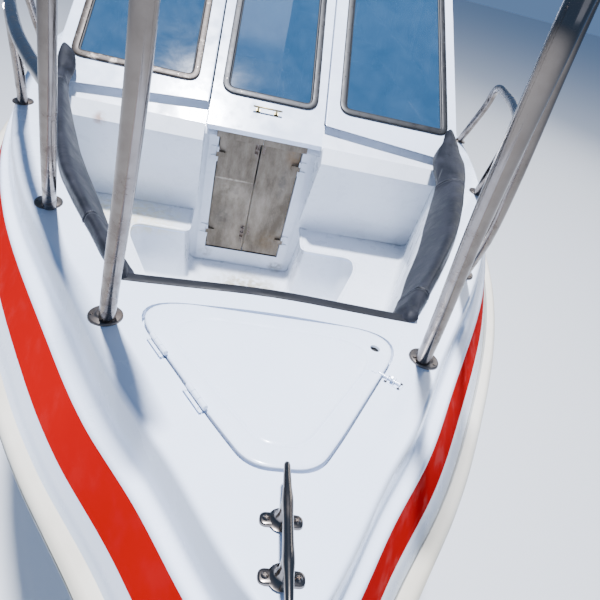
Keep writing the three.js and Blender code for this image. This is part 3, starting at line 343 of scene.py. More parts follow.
def add_node(tree, kind, inputs=None, stops=None, **settings):
    made = tree.nodes.new(kind if "Node" in kind else "ShaderNode" + kind)
    for key, value in settings.items():
        setattr(made, key, value)
    for key, value in (inputs or {}).items():
        value = live(value)
        if isinstance(value, bpy.types.NodeSocket):
            tree.links.new(value, made.inputs[key])
        else:
            made.inputs[key].default_value = value
    if stops:
        ramp = made.color_ramp
        while len(ramp.elements) > 1:
            ramp.elements.remove(ramp.elements[-1])
        ramp.elements[0].position, ramp.elements[0].color = stops[0]
        for position, colour in stops[1:]:
            ramp.elements.new(position).color = colour
    return made


A, B = 6, 7  # the colour sockets of a mix


def finish(name, colour, roughness, metallic=0.0, **sockets):
    """A material with its surface shader set; returns it with its tree, shader and Object coordinates."""
    material = bpy.data.materials.new(name)
    material.use_nodes = True
    tree = material.node_tree
    surface = tree.nodes["Principled BSDF"]
    surface.inputs["Base Color"].default_value = linear(colour)
    surface.inputs["Roughness"].default_value = roughness
    surface.inputs["Metallic"].default_value = metallic
    for key, value in sockets.items():
        surface.inputs[key.replace("_", " ")].default_value = value
    place = add_node(tree, "TexCoord").outputs["Object"]
    return material, tree, surface, place


def feed(tree, surface, **sockets):
    for key, value in sockets.items():
        tree.links.new(live(value), surface.inputs[key.replace("_", " ")])


# %% [markdown]
# ### Gelcoat
# Gelcoat is pigmented polyester sprayed into a polished mould, so it comes out glossy with a slight waviness
# you see only in reflections. Weather chalks it a little: the tone drifts over half a metre, and salt and
# dust dull the gloss in patches a few centimetres wide.

# %% Stains, and a painted pool of sunlight, at named spots
def stained_and_lit(tree, place, base, stains_and_light):
    """Ragged blots over a colour: stains, and on the well one painted pool of sunlight. Each is a spot, its
    reach in mm along x, y and z, a colour, a strength.
    """
    if not stains_and_light:
        return base
    edges = add_node(tree, "TexNoise", {"Vector": place, "Scale": 1 / 0.03, "Detail": 5})
    ragged = add_node(tree, "MapRange", {0: edges, 1: 0.38, 2: 0.6, 3: 0.2, 4: 1.0})
    for at, reach, colour, strength in stains_and_light:
        apart = add_node(tree, "VectorMath", {0: place, 1: at}, operation="SUBTRACT")
        scaled_down = add_node(tree, "VectorMath", {0: apart, 1: Vector(reach) * MM}, operation="DIVIDE")
        away = add_node(tree, "VectorMath", {0: scaled_down}, operation="LENGTH")
        near = add_node(tree, "MapRange", {0: away, 1: 1.0, 2: 0.35, 3: 0.0, 4: strength})
        share = add_node(tree, "Math", {0: near, 1: ragged}, operation="MULTIPLY")
        base = add_node(tree, "Mix", {0: share, A: base, B: linear(colour)}, data_type="RGBA")
    return base


# %% Gelcoat
def gelcoat(name, colour, tired, gloss=0.2, grime="#b9b4a6", grime_share=0.12, coat=0.2, shine=0.45,
        stains_and_light=()):
    material, tree, surface, place = finish(name, colour, gloss, Coat_Weight=coat, Coat_Roughness=0.08,
            Specular_IOR_Level=shine)
    drift = add_node(tree, "TexNoise", {"Vector": place, "Scale": 1 / 0.55, "Detail": 3})
    tone = add_node(tree, "ValToRGB", {"Fac": drift}, [(0.35, linear(tired)), (0.62, linear(colour))])
    specks = add_node(tree, "TexNoise", {"Vector": place, "Scale": 1 / 0.012, "Detail": 6, "Roughness": 0.75})
    spots = add_node(tree, "ValToRGB", {"Fac": specks}, [(0.66, (0, 0, 0, 1)), (0.74, (1, 1, 1, 1))])
    amount = add_node(tree, "Math", {0: spots, 1: grime_share}, operation="MULTIPLY")
    mixed = add_node(tree, "Mix", {0: amount, A: tone, B: linear(grime)}, data_type="RGBA")
    mixed = stained_and_lit(tree, place, mixed, stains_and_light)
    dull = add_node(tree, "TexNoise", {"Vector": place, "Scale": 1 / 0.07, "Detail": 4})
    rough = add_node(tree, "MapRange", {0: dull, 1: 0.35, 2: 0.7, 3: gloss * 0.7, 4: gloss * 1.7})
    wave = add_node(tree, "TexNoise", {"Vector": place, "Scale": 1 / 0.035, "Detail": 1})
    relief = add_node(tree, "Bump", {"Height": wave, "Strength": 0.12, "Distance": 0.0012})
    feed(tree, surface, Base_Color=mixed, Roughness=rough, Normal=relief)
    return material


WHITE = gelcoat("white_gelcoat", "#e0e9f9", "#d6e1f2")
WELL_STAINS_AND_LIGHT = (
    # The first blot is not a stain. It is a painted pool of pale yellow sunlight on the starboard bench by
    # the riser.
    ((-0.62, -1.62, 0.51), (330, 200, 90), "#d8c98c", 0.6),
    ((-0.805, -1.55, 1.0), (60, 60, 60), "#8a5a36", 0.75),
    ((-0.77, -1.63, 1.0), (40, 40, 40), "#9a6c46", 0.7),
    ((0.05, -1.68, 0.19), (240, 190, 60), "#a39a7c", 0.85),
    ((0.22, -1.46, 0.22), (60, 60, 40), "#6d6453", 0.7),
    ((-0.21, -1.46, 0.25), (50, 50, 40), "#6d6453", 0.6),
)
WELL_WHITE = gelcoat("well_gelcoat", "#e2e7f0", "#d6dce4", 0.3, "#a89f86", 0.22, stains_and_light=WELL_STAINS_AND_LIGHT)
RED = gelcoat("red_vinyl_stripe", "#b80006", "#b00005", 0.8, "#a01018", 0.1, coat=0.0, shine=0.02)
CREAM = gelcoat("cream_rubbing_strake", "#d8d4c6", "#c6c0ae", 0.42, "#7c7360", 0.5)
print("gelcoat finishes made")


# %% [markdown]
# ### Metals
# The rails are polished stainless tube that has stood in salt air: the polish left fine lines round the tube,
# and brown tea staining creeps up from every foot. The window frames are bronze-anodised aluminium, worn
# to bare metal on the corners, and the doors are bare sheet, mottled by years of splashes.

# %% Stainless steel
STEEL_FOOT_Z, STEEL_CLEAN_Z = 1.12, 1.75


def stainless(name, stain_share, polish=0.17):
    material, tree, surface, place = finish(name, "#807b76", 0.2, 1.0)
    lines = add_node(tree, "TexNoise", {"Vector": place, "Scale": 1 / 0.0035, "Detail": 2, "Roughness": 0.6})
    blotch = add_node(tree, "TexNoise", {"Vector": place, "Scale": 1 / 0.05, "Detail": 6, "Roughness": 0.7})
    height = add_node(tree, "SeparateXYZ", {"Vector": place})
    low = add_node(tree, "MapRange", {0: height.outputs["Z"], 1: STEEL_FOOT_Z, 2: STEEL_CLEAN_Z, 3: 1.0,
            4: 0.25})
    patches = add_node(tree, "MapRange", {0: blotch, 1: 0.42, 2: 0.66, 3: 0.0, 4: 1.0})
    stain = add_node(tree, "Math", {0: low, 1: patches}, operation="MULTIPLY")
    share = add_node(tree, "Math", {0: stain, 1: stain_share}, operation="MULTIPLY")
    colour = add_node(tree, "Mix", {0: share, A: linear("#77706a"), B: linear("#43342a")},
            data_type="RGBA")
    rough = add_node(tree, "MapRange", {0: share, 1: 0.0, 2: 0.6, 3: polish, 4: polish + 0.25})
    relief = add_node(tree, "Bump", {"Height": lines, "Strength": 0.1, "Distance": 0.0004})
    feed(tree, surface, Base_Color=colour, Roughness=rough, Normal=relief)
    return material


STEEL = stainless("polished_stainless", 0.75)
BRIGHT = stainless("bright_stainless", 0.3)
FLANGE_STEEL = stainless("dulled_flange_stainless", 0.6, 0.42)


# %% Anodised frames, doors and motor metals
def weathered(name, colour, bare, roughness, grain_mm, bare_share, metallic=0.85, streaks=1.0, stains_and_light=()):
    """Metal whose coating has gone in patches; streaks above 1 stretch them down the surface."""
    material, tree, surface, place = finish(name, colour, roughness, metallic)
    stretched = add_node(tree, "Mapping", {"Vector": place, "Scale": (1, 1, 1 / streaks)})
    patch = add_node(tree, "TexNoise", {"Vector": stretched, "Scale": 1 / (grain_mm * MM), "Detail": 8,
            "Roughness": 0.72})
    worn = add_node(tree, "MapRange", {0: patch, 1: 0.5 - bare_share / 2, 2: 0.62, 3: 0.0, 4: 1.0})
    mixed = add_node(tree, "Mix", {0: worn, A: linear(colour), B: linear(bare)}, data_type="RGBA")
    mixed = stained_and_lit(tree, place, mixed, stains_and_light)
    fine = add_node(tree, "TexNoise", {"Vector": place, "Scale": 1 / 0.002, "Detail": 2})
    rough = add_node(tree, "MapRange", {0: patch, 1: 0.3, 2: 0.7, 3: roughness * 0.75,
            4: min(1.0, roughness * 1.35)})
    relief = add_node(tree, "Bump", {"Height": fine, "Strength": 0.15, "Distance": 0.0003})
    feed(tree, surface, Base_Color=mixed, Roughness=rough, Normal=relief)
    return material


BRONZE = weathered("bronze_anodised_aluminium", "#332d28", "#8d857c", 0.42, 90, -0.06, 0.6)
DARK_FRAME = weathered("dark_anodised_aluminium", "#111216", "#2b2b2e", 0.42, 80, -0.1, 0.3)
BLACK_FRAME = weathered("black_anodised_aluminium", "#0b0d11", "#1a1e25", 0.45, 80, -0.1, 0.2)
DOOR_STAINS = (
    ((-0.143, -1.455, 0.487), (60, 30, 90), "#4c463c", 0.6),
    ((-0.12, -1.455, 0.66), (110, 30, 90), "#a59a88", 0.55),
    ((-0.12, -1.455, 0.732), (140, 30, 7), "#b8ae9c", 0.8),
    ((0.187, -1.455, 0.932), (60, 30, 90), "#7c6244", 0.6),
    ((0.150, -1.455, 0.763), (34, 30, 110), "#47423a", 0.6),
    ((0.145, -1.455, 0.38), (110, 30, 90), "#6e5a40", 0.55),
    ((0.0, -1.455, 0.345), (7, 30, 70), "#a8703a", 0.9),
    ((0.0, -1.455, 0.94), (40, 30, 60), "#4d4438", 0.6),
)
DOOR_METAL = weathered("stained_sheet_metal", "#8a7f70", "#665b4c", 0.55, 75, 0.35, 0.45, 2.6, DOOR_STAINS)
RUSTY = weathered("rusty_steel", "#5e4636", "#8a8178", 0.6, 12, 0.3, 0.6)
BRASS = weathered("tarnished_brass", "#a4946a", "#6f6548", 0.35, 8, 0.2, 1.0)
MOTOR_PAINT = weathered("dark_marine_paint", "#2a2d33", "#3a3e45", 0.35, 140, 0.2, 0.1)
COWL_PAINT = weathered("gloss_cowl_enamel", "#1b1d21", "#24272c", 0.18, 200, 0.2, 0.0)
BLADE_PAINT = weathered("painted_cast_aluminium", "#33363b", "#6e7074", 0.4, 40, 0.2, 0.3)


# %% [markdown]
# ### Vinyl, rubber, plastic and paint
# Upholstery vinyl is a printed skin on cloth: a pebble grain a millimetre or two across, a soft sheen, and
# paler dusty ridges where it is rubbed. Rubber seals are dead black. The floors have gritty non-slip paint.

# %% Soft and dull finishes
def vinyl(name, colour, rubbed, grain_mm=2.2):
    material, tree, surface, place = finish(name, colour, 0.6, Sheen_Weight=0.03, Sheen_Roughness=0.4,
            Specular_IOR_Level=0.22)
    grain = add_node(tree, "TexVoronoi", {"Vector": place, "Scale": 1 / (grain_mm * MM)}, feature="F1")
    dust = add_node(tree, "TexNoise", {"Vector": place, "Scale": 1 / 0.09, "Detail": 6, "Roughness": 0.65})
    rub = add_node(tree, "MapRange", {0: dust, 1: 0.4, 2: 0.72, 3: 0.0, 4: 0.85})
    mixed = add_node(tree, "Mix", {0: rub, A: linear(colour), B: linear(rubbed)}, data_type="RGBA")
    rough = add_node(tree, "MapRange", {0: dust, 1: 0.3, 2: 0.7, 3: 0.42, 4: 0.75})
    folds = add_node(tree, "TexNoise", {"Vector": place, "Scale": 1 / 0.045, "Detail": 3, "Distortion": 0.6})
    soft = add_node(tree, "Bump", {"Height": folds, "Strength": 0.35, "Distance": 0.004})
    relief = add_node(tree, "Bump", {"Height": grain, "Strength": 0.25, "Distance": 0.0006,
            "Normal": soft})
    feed(tree, surface, Base_Color=mixed, Roughness=rough, Normal=relief)
    return material


def gritty(name, colour, worn, roughness, grit_mm, height_mm):
    material, tree, surface, place = finish(name, colour, roughness)
    patch = add_node(tree, "TexNoise", {"Vector": place, "Scale": 1 / 0.25, "Detail": 5, "Roughness": 0.6})
    mixed = add_node(tree, "ValToRGB", {"Fac": patch}, [(0.38, linear(worn)), (0.62, linear(colour))])
    grit = add_node(tree, "TexNoise", {"Vector": place, "Scale": 1 / (grit_mm * MM), "Detail": 2})
    relief = add_node(tree, "Bump", {"Height": grit, "Strength": 0.4, "Distance": height_mm * MM})
    feed(tree, surface, Base_Color=mixed, Normal=relief)
    return material


PAD_VINYL = vinyl("charcoal_vinyl", "#101218", "#282a33")
SEAT_VINYL = vinyl("navy_vinyl", "#141c28", "#2c3644", 3)
THREAD = vinyl("grey_thread", "#4a4d55", "#6a6d75", 1)
RUBBER = gritty("black_rubber", "#17181b", "#26282c", 0.6, 2, 0.1)
TRIM = vinyl("dark_edge_trim", "#0e0f14", "#191b22", 3)
BLACK_PLASTIC = gritty("moulded_black_plastic", "#1a1b1e", "#222428", 0.45, 1.2, 0.15)
SOLE_PAINT = gritty("non_slip_sole_paint", "#b5b1a6", "#a19b8c", 0.8, 4, 0.5)
INSTRUMENT = gritty("instrument_face", "#e8e6df", "#dcd9d0", 0.4, 1, 0.02)


# %% [markdown]
# ### Tinted glass
# The panes are blue-tinted acrylic with years of dust on them. The dust scatters light, so it is paler,
# rougher and less see-through than the clean tint between. The blue and the pale mottling are also partly
# a painted reflection of the sky and its clouds.

# %% Glass
def tinted_glass(name, tint_and_sky, dust_and_sky_colour, clear):
    material, tree, surface, place = finish(name, tint_and_sky, 0.06, IOR=1.49, Specular_IOR_Level=0.3)
    dust_and_sky_noise = add_node(tree, "TexNoise", {"Vector": place, "Scale": 1 / 0.16, "Detail": 7, "Roughness": 0.68,
            "Distortion": 0.4})
    specks = add_node(tree, "TexNoise", {"Vector": place, "Scale": 1 / 0.009, "Detail": 3, "Roughness": 0.8})
    dots = add_node(tree, "MapRange", {0: specks, 1: 0.62, 2: 0.72, 3: 0.0, 4: 0.8})
    # The pale patches are dust together with a painted reflection of clouds.
    dust_and_sky_patches = add_node(tree, "MapRange", {0: dust_and_sky_noise, 1: 0.36, 2: 0.74, 3: 0.1, 4: 0.3})
    dust = add_node(tree, "Math", {0: dots, 1: dust_and_sky_patches}, operation="MULTIPLY")
    dust_and_sky_veil = add_node(tree, "Math", {0: dust, 1: dust_and_sky_patches}, operation="MAXIMUM")
    mixed = add_node(tree, "Mix", {0: dust_and_sky_veil, A: linear(tint_and_sky), B: linear(dust_and_sky_colour)}, data_type="RGBA")
    rough = add_node(tree, "MapRange", {0: dust_and_sky_veil, 1: 0.0, 2: 1.0, 3: 0.05, 4: 0.35})
    solid = add_node(tree, "MapRange", {0: dust_and_sky_veil, 1: 0.0, 2: 1.0, 3: clear, 4: min(1.0, clear + 0.25)})
    feed(tree, surface, Base_Color=mixed, Roughness=rough, Alpha=solid)
    return material


# The windscreen's blue is part tint and part painted reflection of the blue sky.
GLASS = tinted_glass("blue_acrylic_dust_and_painted_sky", "#1d405e", "#4c6a88", 0.62)
SIDE_GLASS = tinted_glass("grey_tinted_acrylic", "#22303c", "#4c5a68", 0.5)
print("materials", len(bpy.data.materials))

# %% [markdown]
# ## The boat's lines
# Hull, deck, stripe and rub rail share one table of frames, in millimetres, and a smooth line through each
# column. The same table drew the frame's solids, so trims made from it lie on their surfaces.

# %% Lines
LINE_NAMES = (
    "edge_x", "edge_y", "edge_z", "rail_x", "rail_y", "chine_x", "chine_y", "chine_z", "keel_y", "keel_z",
)
LINE_ROWS = (
    (0, -3880, 1272, 0, -4085, 0, -3960, 560, -3830, 330),
    (75, -3785, 1258, 150, -3925, 75, -3810, 520, -3600, 60),
    (206, -3575, 1230, 349, -3658, 200, -3600, 455, -3300, -90),
    (325, -3400, 1198, 520, -3440, 330, -3400, 400, -3050, -180),
    (463, -3149, 1161, 690, -3180, 480, -3149, 330, -2800, -240),
    (784, -2582, 1130, 970, -2600, 770, -2582, 205, -2450, -300),
    (997, -2045, 1112, 1140, -2060, 930, -2045, 110, -2000, -330),
    (1165, -1300, 1089, 1262, -1305, 1035, -1300, 35, -1300, -348),
    (1235, -300, 1060, 1322, -300, 1065, -300, 0, -300, -350),
    (1240, 1500, 1012, 1325, 1500, 1055, 1500, -20, 1500, -350),
    (1190, 3800, 960, 1275, 3800, 1010, 3800, -25, 3800, -340),
)
BAND_DROP = 305  # deck edge down to the rub rail
SEAM_SHARE = 0.79  # how far out the deck moulding reaches
CAMBER = math.tan(math.radians(3))
CROWN_WIDTH = 120  # the deck's two slopes meet in a round crown this wide to each side


def frame_at(y):
    """Row values at any station, by the same cubic through uneven stations that drew the solids."""
    stations = [row[1] for row in LINE_ROWS]
    y = min(max(y, stations[0]), stations[-1])
    i = next((k for k in range(1, len(stations)) if y <= stations[k]), len(stations) - 1)
    before, after = (i - 2 if i > 1 else i), (i + 1 if i + 1 < len(stations) else i - 1)
    t0, t1 = stations[i - 1], stations[i]
    t_before = stations[before] if i > 1 else 2 * t0 - t1
    t_after = stations[after] if i + 1 < len(stations) else 2 * t1 - t0
    half = (t1 - t0) / 2
    w_before, w_after = half / (t0 - t_before), half / (t_after - t1)
    p = (y - t0) / (t1 - t0)
    pp, ppp = p * p, p * p * p
    shares = (
        (before, -w_before * ppp + 2 * w_before * pp - w_before * p),
        (i - 1, (1 + w_before) * ppp + (-1.5 - 2 * w_before) * pp + (-0.5 + w_before) * p + 1),
        (i, (-1 - w_after) * ppp + (1.5 + w_after) * pp + 0.5 * p),
        (after, w_after * ppp - w_after * pp),
    )
    return {name: sum(LINE_ROWS[k][c] * share for k, share in shares) for c, name in enumerate(LINE_NAMES)}


def ridge(x):
    """The distance from the centreline, rounded off at the crown."""
    x = abs(x)
    return x if x > CROWN_WIDTH else x * x / (2 * CROWN_WIDTH) + CROWN_WIDTH / 2


def deck_z(x, y):
    """Height of the deck surface in millimetres."""
    f = frame_at(y)
    return f["edge_z"] + max(0.0, f["edge_x"] - ridge(x)) * CAMBER


print("deck height at the cleat", round(deck_z(0, -3727)), "mm")

# %% [markdown]
# ## Outlines in plan
# The well, the footwell and the hatch are plan outlines with round corners. These helpers round a corner,
# space points evenly along a line and move a line sideways, which is how fillets are built below.

# %% Outline helpers
def bend(points, steps):
    """An open line of (point, radius) with its corners rounded by quadratic curves."""
    out = [points[0][0]]
    for (before, _), (corner, r), (after, _) in zip(points, points[1:], points[2:]):
        reach = min(r, (before - corner).length * 0.48, (after - corner).length * 0.48)
        start = corner + (before - corner).normalized() * reach
        end = corner + (after - corner).normalized() * reach
        for k in range(steps + 1):
            t = k / steps
            out.append(start * (1 - t) ** 2 + corner * (2 * t * (1 - t)) + end * t ** 2)
    out.append(points[-1][0])
    return out


def rounded_outline(points, steps=8):
    """The same for a closed outline of (x, y, radius)."""
    out = []
    n = len(points)
    for i, (x, y, r) in enumerate(points):
        corner = Vector((x, y))
        if not r:
            out.append(corner)
            continue
        back, on = Vector(points[i - 1][:2]), Vector(points[(i + 1) % n][:2])
        out += bend([(back, 0), (corner, r), (on, 0)], steps)[1:-1]
    return out


def resampled(points, count):
    """The same open line with 'count' points, evenly spaced along it."""
    lengths = [0.0]
    for a, b in zip(points, points[1:]):
        lengths.append(lengths[-1] + (b - a).length)
    out = []
    k = 0
    for i in range(count):
        want = lengths[-1] * i / (count - 1)
        while k < len(points) - 2 and lengths[k + 1] < want:
            k += 1
        span = max(1e-9, lengths[k + 1] - lengths[k])
        out.append(points[k].lerp(points[k + 1], min(1.0, (want - lengths[k]) / span)))
    return out


def inset_line(points, amount):
    """An open line moved towards the inside of its U, its ends kept at their station."""
    out = []
    for i, p in enumerate(points):
        a, b = points[max(0, i - 1)], points[min(len(points) - 1, i + 1)]
        along = (b - a).normalized()
        out.append(p + Vector((-along.y, along.x)) * amount)
    out[0].y = points[0].y
    out[-1].y = points[-1].y
    return out


# %% The well's outlines
WELL_ROWS = (
    (-2978, 395, 335), (-2899, 464, 385), (-2789, 529, 440), (-2657, 605, 487), (-2474, 695, 567),
    (-2220, 780, 680), (-1972, 851, 779), (-1736, 920, 866), (-1453, 1003, 962),
)
THROAT_Z, SHOULDER_Z, BENCH_Z, FLOOR_Z, LINER_TOP_Z, BULKHEAD_Y = 1165, 975, 510, 190, 1085, -1453
FOOT_ROWS = ((180, -2750, 60), (590, -1800, 60), (590, -1690, 70), (300, -1690, 40), (300, -1453, 0))


# Both outlines are cut at matching places, so that the faces between them never cross.
WELL_CUTS = ((440, -2789), (840, -1800), (905, -1640), (940, -1540))
FOOT_CUTS = ((180, -2750), (590, -1800), (590, -1690), (300, -1690))
CUT_STEPS = (12, 40, 8, 16, 14)
HALF_U = sum(CUT_STEPS)
U_POINTS = 2 * HALF_U + 1


def whole_u(half, cuts):
    """From a port half, front to aft: the whole U, starboard aft round to port aft, spaced between cuts."""
    out, start = [], 0
    for steps, cut in zip(CUT_STEPS, cuts + (None,)):
        later = range(start + 1, len(half))
        end = len(half) - 1 if cut is None else min(later, key=lambda i: (half[i] - Vector(cut)).length)
        out += resampled(half[start:end + 1], steps + 1)[:-1]
        start = end
    out.append(half[-1])
    return [Vector((-p.x, p.y)) for p in reversed(out)] + out[1:]


def well_line(column, corner=46):
    """The well's U at one level, the throat in column 1 and the shoulder in column 2."""
    curve = spline_points([(row[column], row[0], 0) for row in WELL_ROWS], 6)
    side = [Vector((p.x, p.y)) for p in curve]
    turn = [(Vector((0, side[0].y)), 0), (side[0], corner), (side[1], 0)]
    return whole_u(bend(turn, 8)[:-1] + side[1:], WELL_CUTS)


def foot_line(grow=0.0):
    side = [(Vector((0, FOOT_ROWS[0][1])), 0)] + [(Vector((x, y)), r) for x, y, r in FOOT_ROWS]
    return inset_line(whole_u(bend(side, 8), FOOT_CUTS), -grow)


throat, shoulder = well_line(1), well_line(2)
print("well opening", round(max(p.x for p in throat) * 2), "mm wide aft")

# %% [markdown]
# ## The deck and hull mouldings
# Both are laid up in polished moulds, so their curves are smooth and every corner is a fillet. They are drawn
# as lofts over close stations of the boat's lines, with a fillet at every turn of the section. The red
# stripe is vinyl tape on the band below the shelf, so it is a second material on that band's own faces.

# %% Section of the deck moulding
BAND = ((0, 0, 16), (0.1, 105, 22), (0.29, 108, 9), (0.6, 239, 4), (SEAM_SHARE, BAND_DROP, 3))
STRIPE = (117, 237)  # the tape's edges, as drops below the deck edge in mm
STRIPE_CORNER = 3  # it lies after this corner of the band
TOP_STEPS, CORNER_STEPS = 9, 5


def gunwale_stations():
    """Stations from the stem aft, close together where the bow curves."""
    found = []
    for i in range(len(LINE_ROWS) - 1):
        a, b = LINE_ROWS[i][1], LINE_ROWS[i + 1][1]
        found.extend(a + (b - a) * k / 9 for k in range(9))
    return found + [LINE_ROWS[-1][1]]


STATIONS = gunwale_stations()


def reach_of(f):
    return max(1.0, math.hypot(f["rail_x"] - f["edge_x"], f["rail_y"] - f["edge_y"]))


def section_point(f, a, drop):
    """A point 'a' mm out from the deck edge; inboard of the edge where it is below zero."""
    if a < 0:
        return Vector((f["edge_x"] + a, f["edge_y"], f["edge_z"] - drop))
    share = a / reach_of(f)
    x = f["edge_x"] + (f["rail_x"] - f["edge_x"]) * share
    return Vector((x, f["edge_y"] + (f["rail_y"] - f["edge_y"]) * share, f["edge_z"] - drop))


def deck_half(f):
    """Half a section from the crown outwards and down, and the number of the stripe's segment."""
    reach = reach_of(f)
    inboard = -min(60.0, f["edge_x"] * 0.4)
    corners = [(Vector((inboard, inboard * CAMBER)), 0)]
    corners += [(Vector((share * reach, drop)), r) for share, drop, r in BAND]
    corners.append((Vector((BAND[-1][0] * reach - 30, BAND_DROP)), 0))
    outside = bend(corners, CORNER_STEPS)
    at = STRIPE_CORNER * (CORNER_STEPS + 1)
    upper, lower = outside[at], outside[at + 1]
    edges = [upper.lerp(lower, (drop - upper.y) / (lower.y - upper.y)) for drop in STRIPE]
    outside[at + 1:at + 1] = edges
    crown = f["edge_x"] + inboard
    top = [Vector((crown * k / TOP_STEPS, f["edge_y"], 0)) for k in range(TOP_STEPS)]
    for p in top:
        p.z = f["edge_z"] + max(0.0, f["edge_x"] - ridge(p.x)) * CAMBER
    under = Vector((0, section_point(f, outside[-1].x, 0).y, f["edge_z"] - BAND_DROP))
    return top + [section_point(f, p.x, p.y) for p in outside] + [under], len(top) + at + 1


def both_sides(name, halves, segment=None, smooth_angle=35):
    """A closed skin over half sections that start and end on the centre plane."""
    mirrored = [[Vector((-q.x, q.y, q.z)) for q in reversed(half[1:])] for half in halves]
    rings = [[p * MM for p in half + other] for half, other in zip(halves, mirrored)]
    band = () if segment is None else (segment, 2 * len(halves[0]) - segment - 2)
    return skin(name, rings, smooth_angle=smooth_angle, band=band)


lofted = [deck_half(frame_at(y)) for y in STATIONS]
deck = both_sides("deck_moulding", [half for half, _ in lofted], lofted[0][1])
print("deck loft", len(deck.data.polygons), "faces", len(lofted), "stations")

# %% Section of the hull
CHINE_FLAT, KEEL_PAD, HOLLOW = 55, 35, 0.06


def hull_half(f):
    gunwale = section_point(f, SEAM_SHARE * reach_of(f), BAND_DROP + 0.3)
    chine = Vector((f["chine_x"], f["chine_y"], f["chine_z"]))
    side = chine.lerp(gunwale, 0.55)
    if chine.x > 1:
        side.x = max(0.0, side.x - HOLLOW * max(0.0, 1 - chine.x / 1000) * (gunwale.z - chine.z))
    inner = chine.x - min(CHINE_FLAT, chine.x / 2)
    pad = min(KEEL_PAD, inner / 2)
    keel = Vector((pad, f["keel_y"], f["keel_z"]))
    line = [
        (Vector((0, gunwale.y, gunwale.z)), 0), (gunwale, 3), (side, 160), (chine, 12),
        (Vector((inner, chine.y, chine.z - (8 if inner > 0 else 0))), 8), (keel, 14),
        (Vector((0, keel.y, keel.z)), 0),
    ]
    return bend(line, CORNER_STEPS)


hull = both_sides("hull_moulding", [hull_half(frame_at(y)) for y in STATIONS])


# %% [markdown]
# ### Cutting the holes
# Each hole is a closed solid of its own, taken away with an exact boolean and then thrown away. The deck laps
# over the well's liner, so its opening is the throat itself, and below the lap the hole is wider.

# %% Cutters
LAP, LINER_THICK, HATCH_GAP, LID_THICK, LID_PROUD = 0.3, 25, 6, 30, 6
OPEN_Z, ABOVE_DECK, LOCKER_BOTTOM, LOCKER_IN = 1600, 1500, 1000, 30
HOLLOWS = (  # cabin with cockpit, splash well and its notch: half width, from, to, bottom
    (980, BULKHEAD_Y - 0.3, 3250, FLOOR_Z - LINER_THICK - LAP), (360, 3310, 3740, 250),
    (360, 3739, 3810, 300),
)
HATCH = ((366, -3086, 160), (118, -3500, 50), (62, -3584, 45))


def level_rings(levels):
    """Rings in metres from (height or a function of x and y, line)."""
    heights = [(z if callable(z) else lambda x, y, z=z: z, line) for z, line in levels]
    return [[mm(p.x, p.y, z(p.x, p.y)) for p in line] for z, line in heights]


def hatch_line(grow, steps=10):
    """The hatch's outline, grown outwards; its rear, side and nose corners grow as the frame's do."""
    (rx, ry, rr), (sx, sy, sr), (nx, ny, nr) = HATCH
    port = [(rx + 1.3 * grow, ry + grow, rr), (sx + grow, sy, sr), (nx + 0.5 * grow, ny - grow, nr)]
    return rounded_outline(port + [(-x, y, r) for x, y, r in reversed(port)], steps)


def cutters():
    grown = LINER_THICK + LAP
    share = (THROAT_Z - LINER_TOP_Z) / (THROAT_Z - SHOULDER_Z)
    at_top = [a.lerp(b, share) for a, b in zip(throat, shoulder)]
    wide = inset_line(shoulder, -grown)
    tools = [
        skin("cut", level_rings([(1400, throat), (THROAT_Z, throat), (SHOULDER_Z, shoulder)])),
        skin("cut", level_rings([(LINER_TOP_Z + LAP, inset_line(at_top, -grown)), (SHOULDER_Z, wide),
            (BENCH_Z - grown, wide)])),
        skin("cut", level_rings([(BENCH_Z, foot_line(grown)), (FLOOR_Z - grown, foot_line(grown))])),
    ]
    return tools + [block("cut", (-half, y0, z), (half, y1, OPEN_Z), 0) for half, y0, y1, z in HOLLOWS]


def cut_away(piece, tools):
    for tool in tools:
        hole = piece.modifiers.new("hole", "BOOLEAN")
        hole.operation, hole.solver, hole.object = "DIFFERENCE", "EXACT", tool
    applied(piece)
    for tool in tools:
        bpy.data.objects.remove(tool)
    return piece


def under_lid(x, y):
    return deck_z(x, y) + LID_PROUD - LID_THICK - HATCH_GAP


painted(deck, WHITE, RED)
around = hatch_line(HATCH_GAP)
recess_rust_and_shade = skin("cut", level_rings([(ABOVE_DECK, around), (under_lid, around)]))
locker = skin("cut", level_rings([(z, hatch_line(-LOCKER_IN)) for z in (ABOVE_DECK, LOCKER_BOTTOM)]))
cut_away(deck, cutters() + [recess_rust_and_shade, locker])
cut_away(painted(hull, WHITE), cutters())
for piece in (deck, hull):
    soften(piece.data, 33)
keep(deck, None, "root", "gelcoat_white", "deck")
keep(hull, None, "root", "gelcoat_white", "hull")

# %% [markdown]
# ## Rub rail
# The strake is an extruded vinyl section screwed round the gunwale: a round-nosed bar with a groove along
# its middle where the insert sits. It is swept round the whole boat, from transom to stem and back.

# %% Rub rail
RAIL_HIGH = 26


def rub_section():
    """Out and up, mm: a rounded bar with a shallow groove in its face."""
    upper = [(0.3, RAIL_HIGH), (22, RAIL_HIGH), (31, 23.5), (38, 18), (42.5, 11), (42, 7.5), (38.5, 5.5),
             (38, 0)]
    return upper + [(x, -z) for x, z in reversed(upper[:-1])]


def strake_foot(y):
    """The strake's place on the seam at a station, and the way out from it."""
    f = frame_at(y)
    out = Vector((f["rail_x"] - f["edge_x"], f["rail_y"] - f["edge_y"], 0)).normalized()
    return section_point(f, SEAM_SHARE * reach_of(f), BAND_DROP), out


rings = []
for side, run in ((-1, STATIONS[::-1]), (1, STATIONS[1:])):
    for y in run:
        foot_at, out = strake_foot(y)
        ring = [foot_at + out * d + Vector((0, 0, h)) for d, h in rub_section()]
        rings.append([mm(side * p.x, p.y, p.z) for p in ring])
keep(skin("rubbing_strake", rings), CREAM, "root", "rail_cream", "rub_rail")

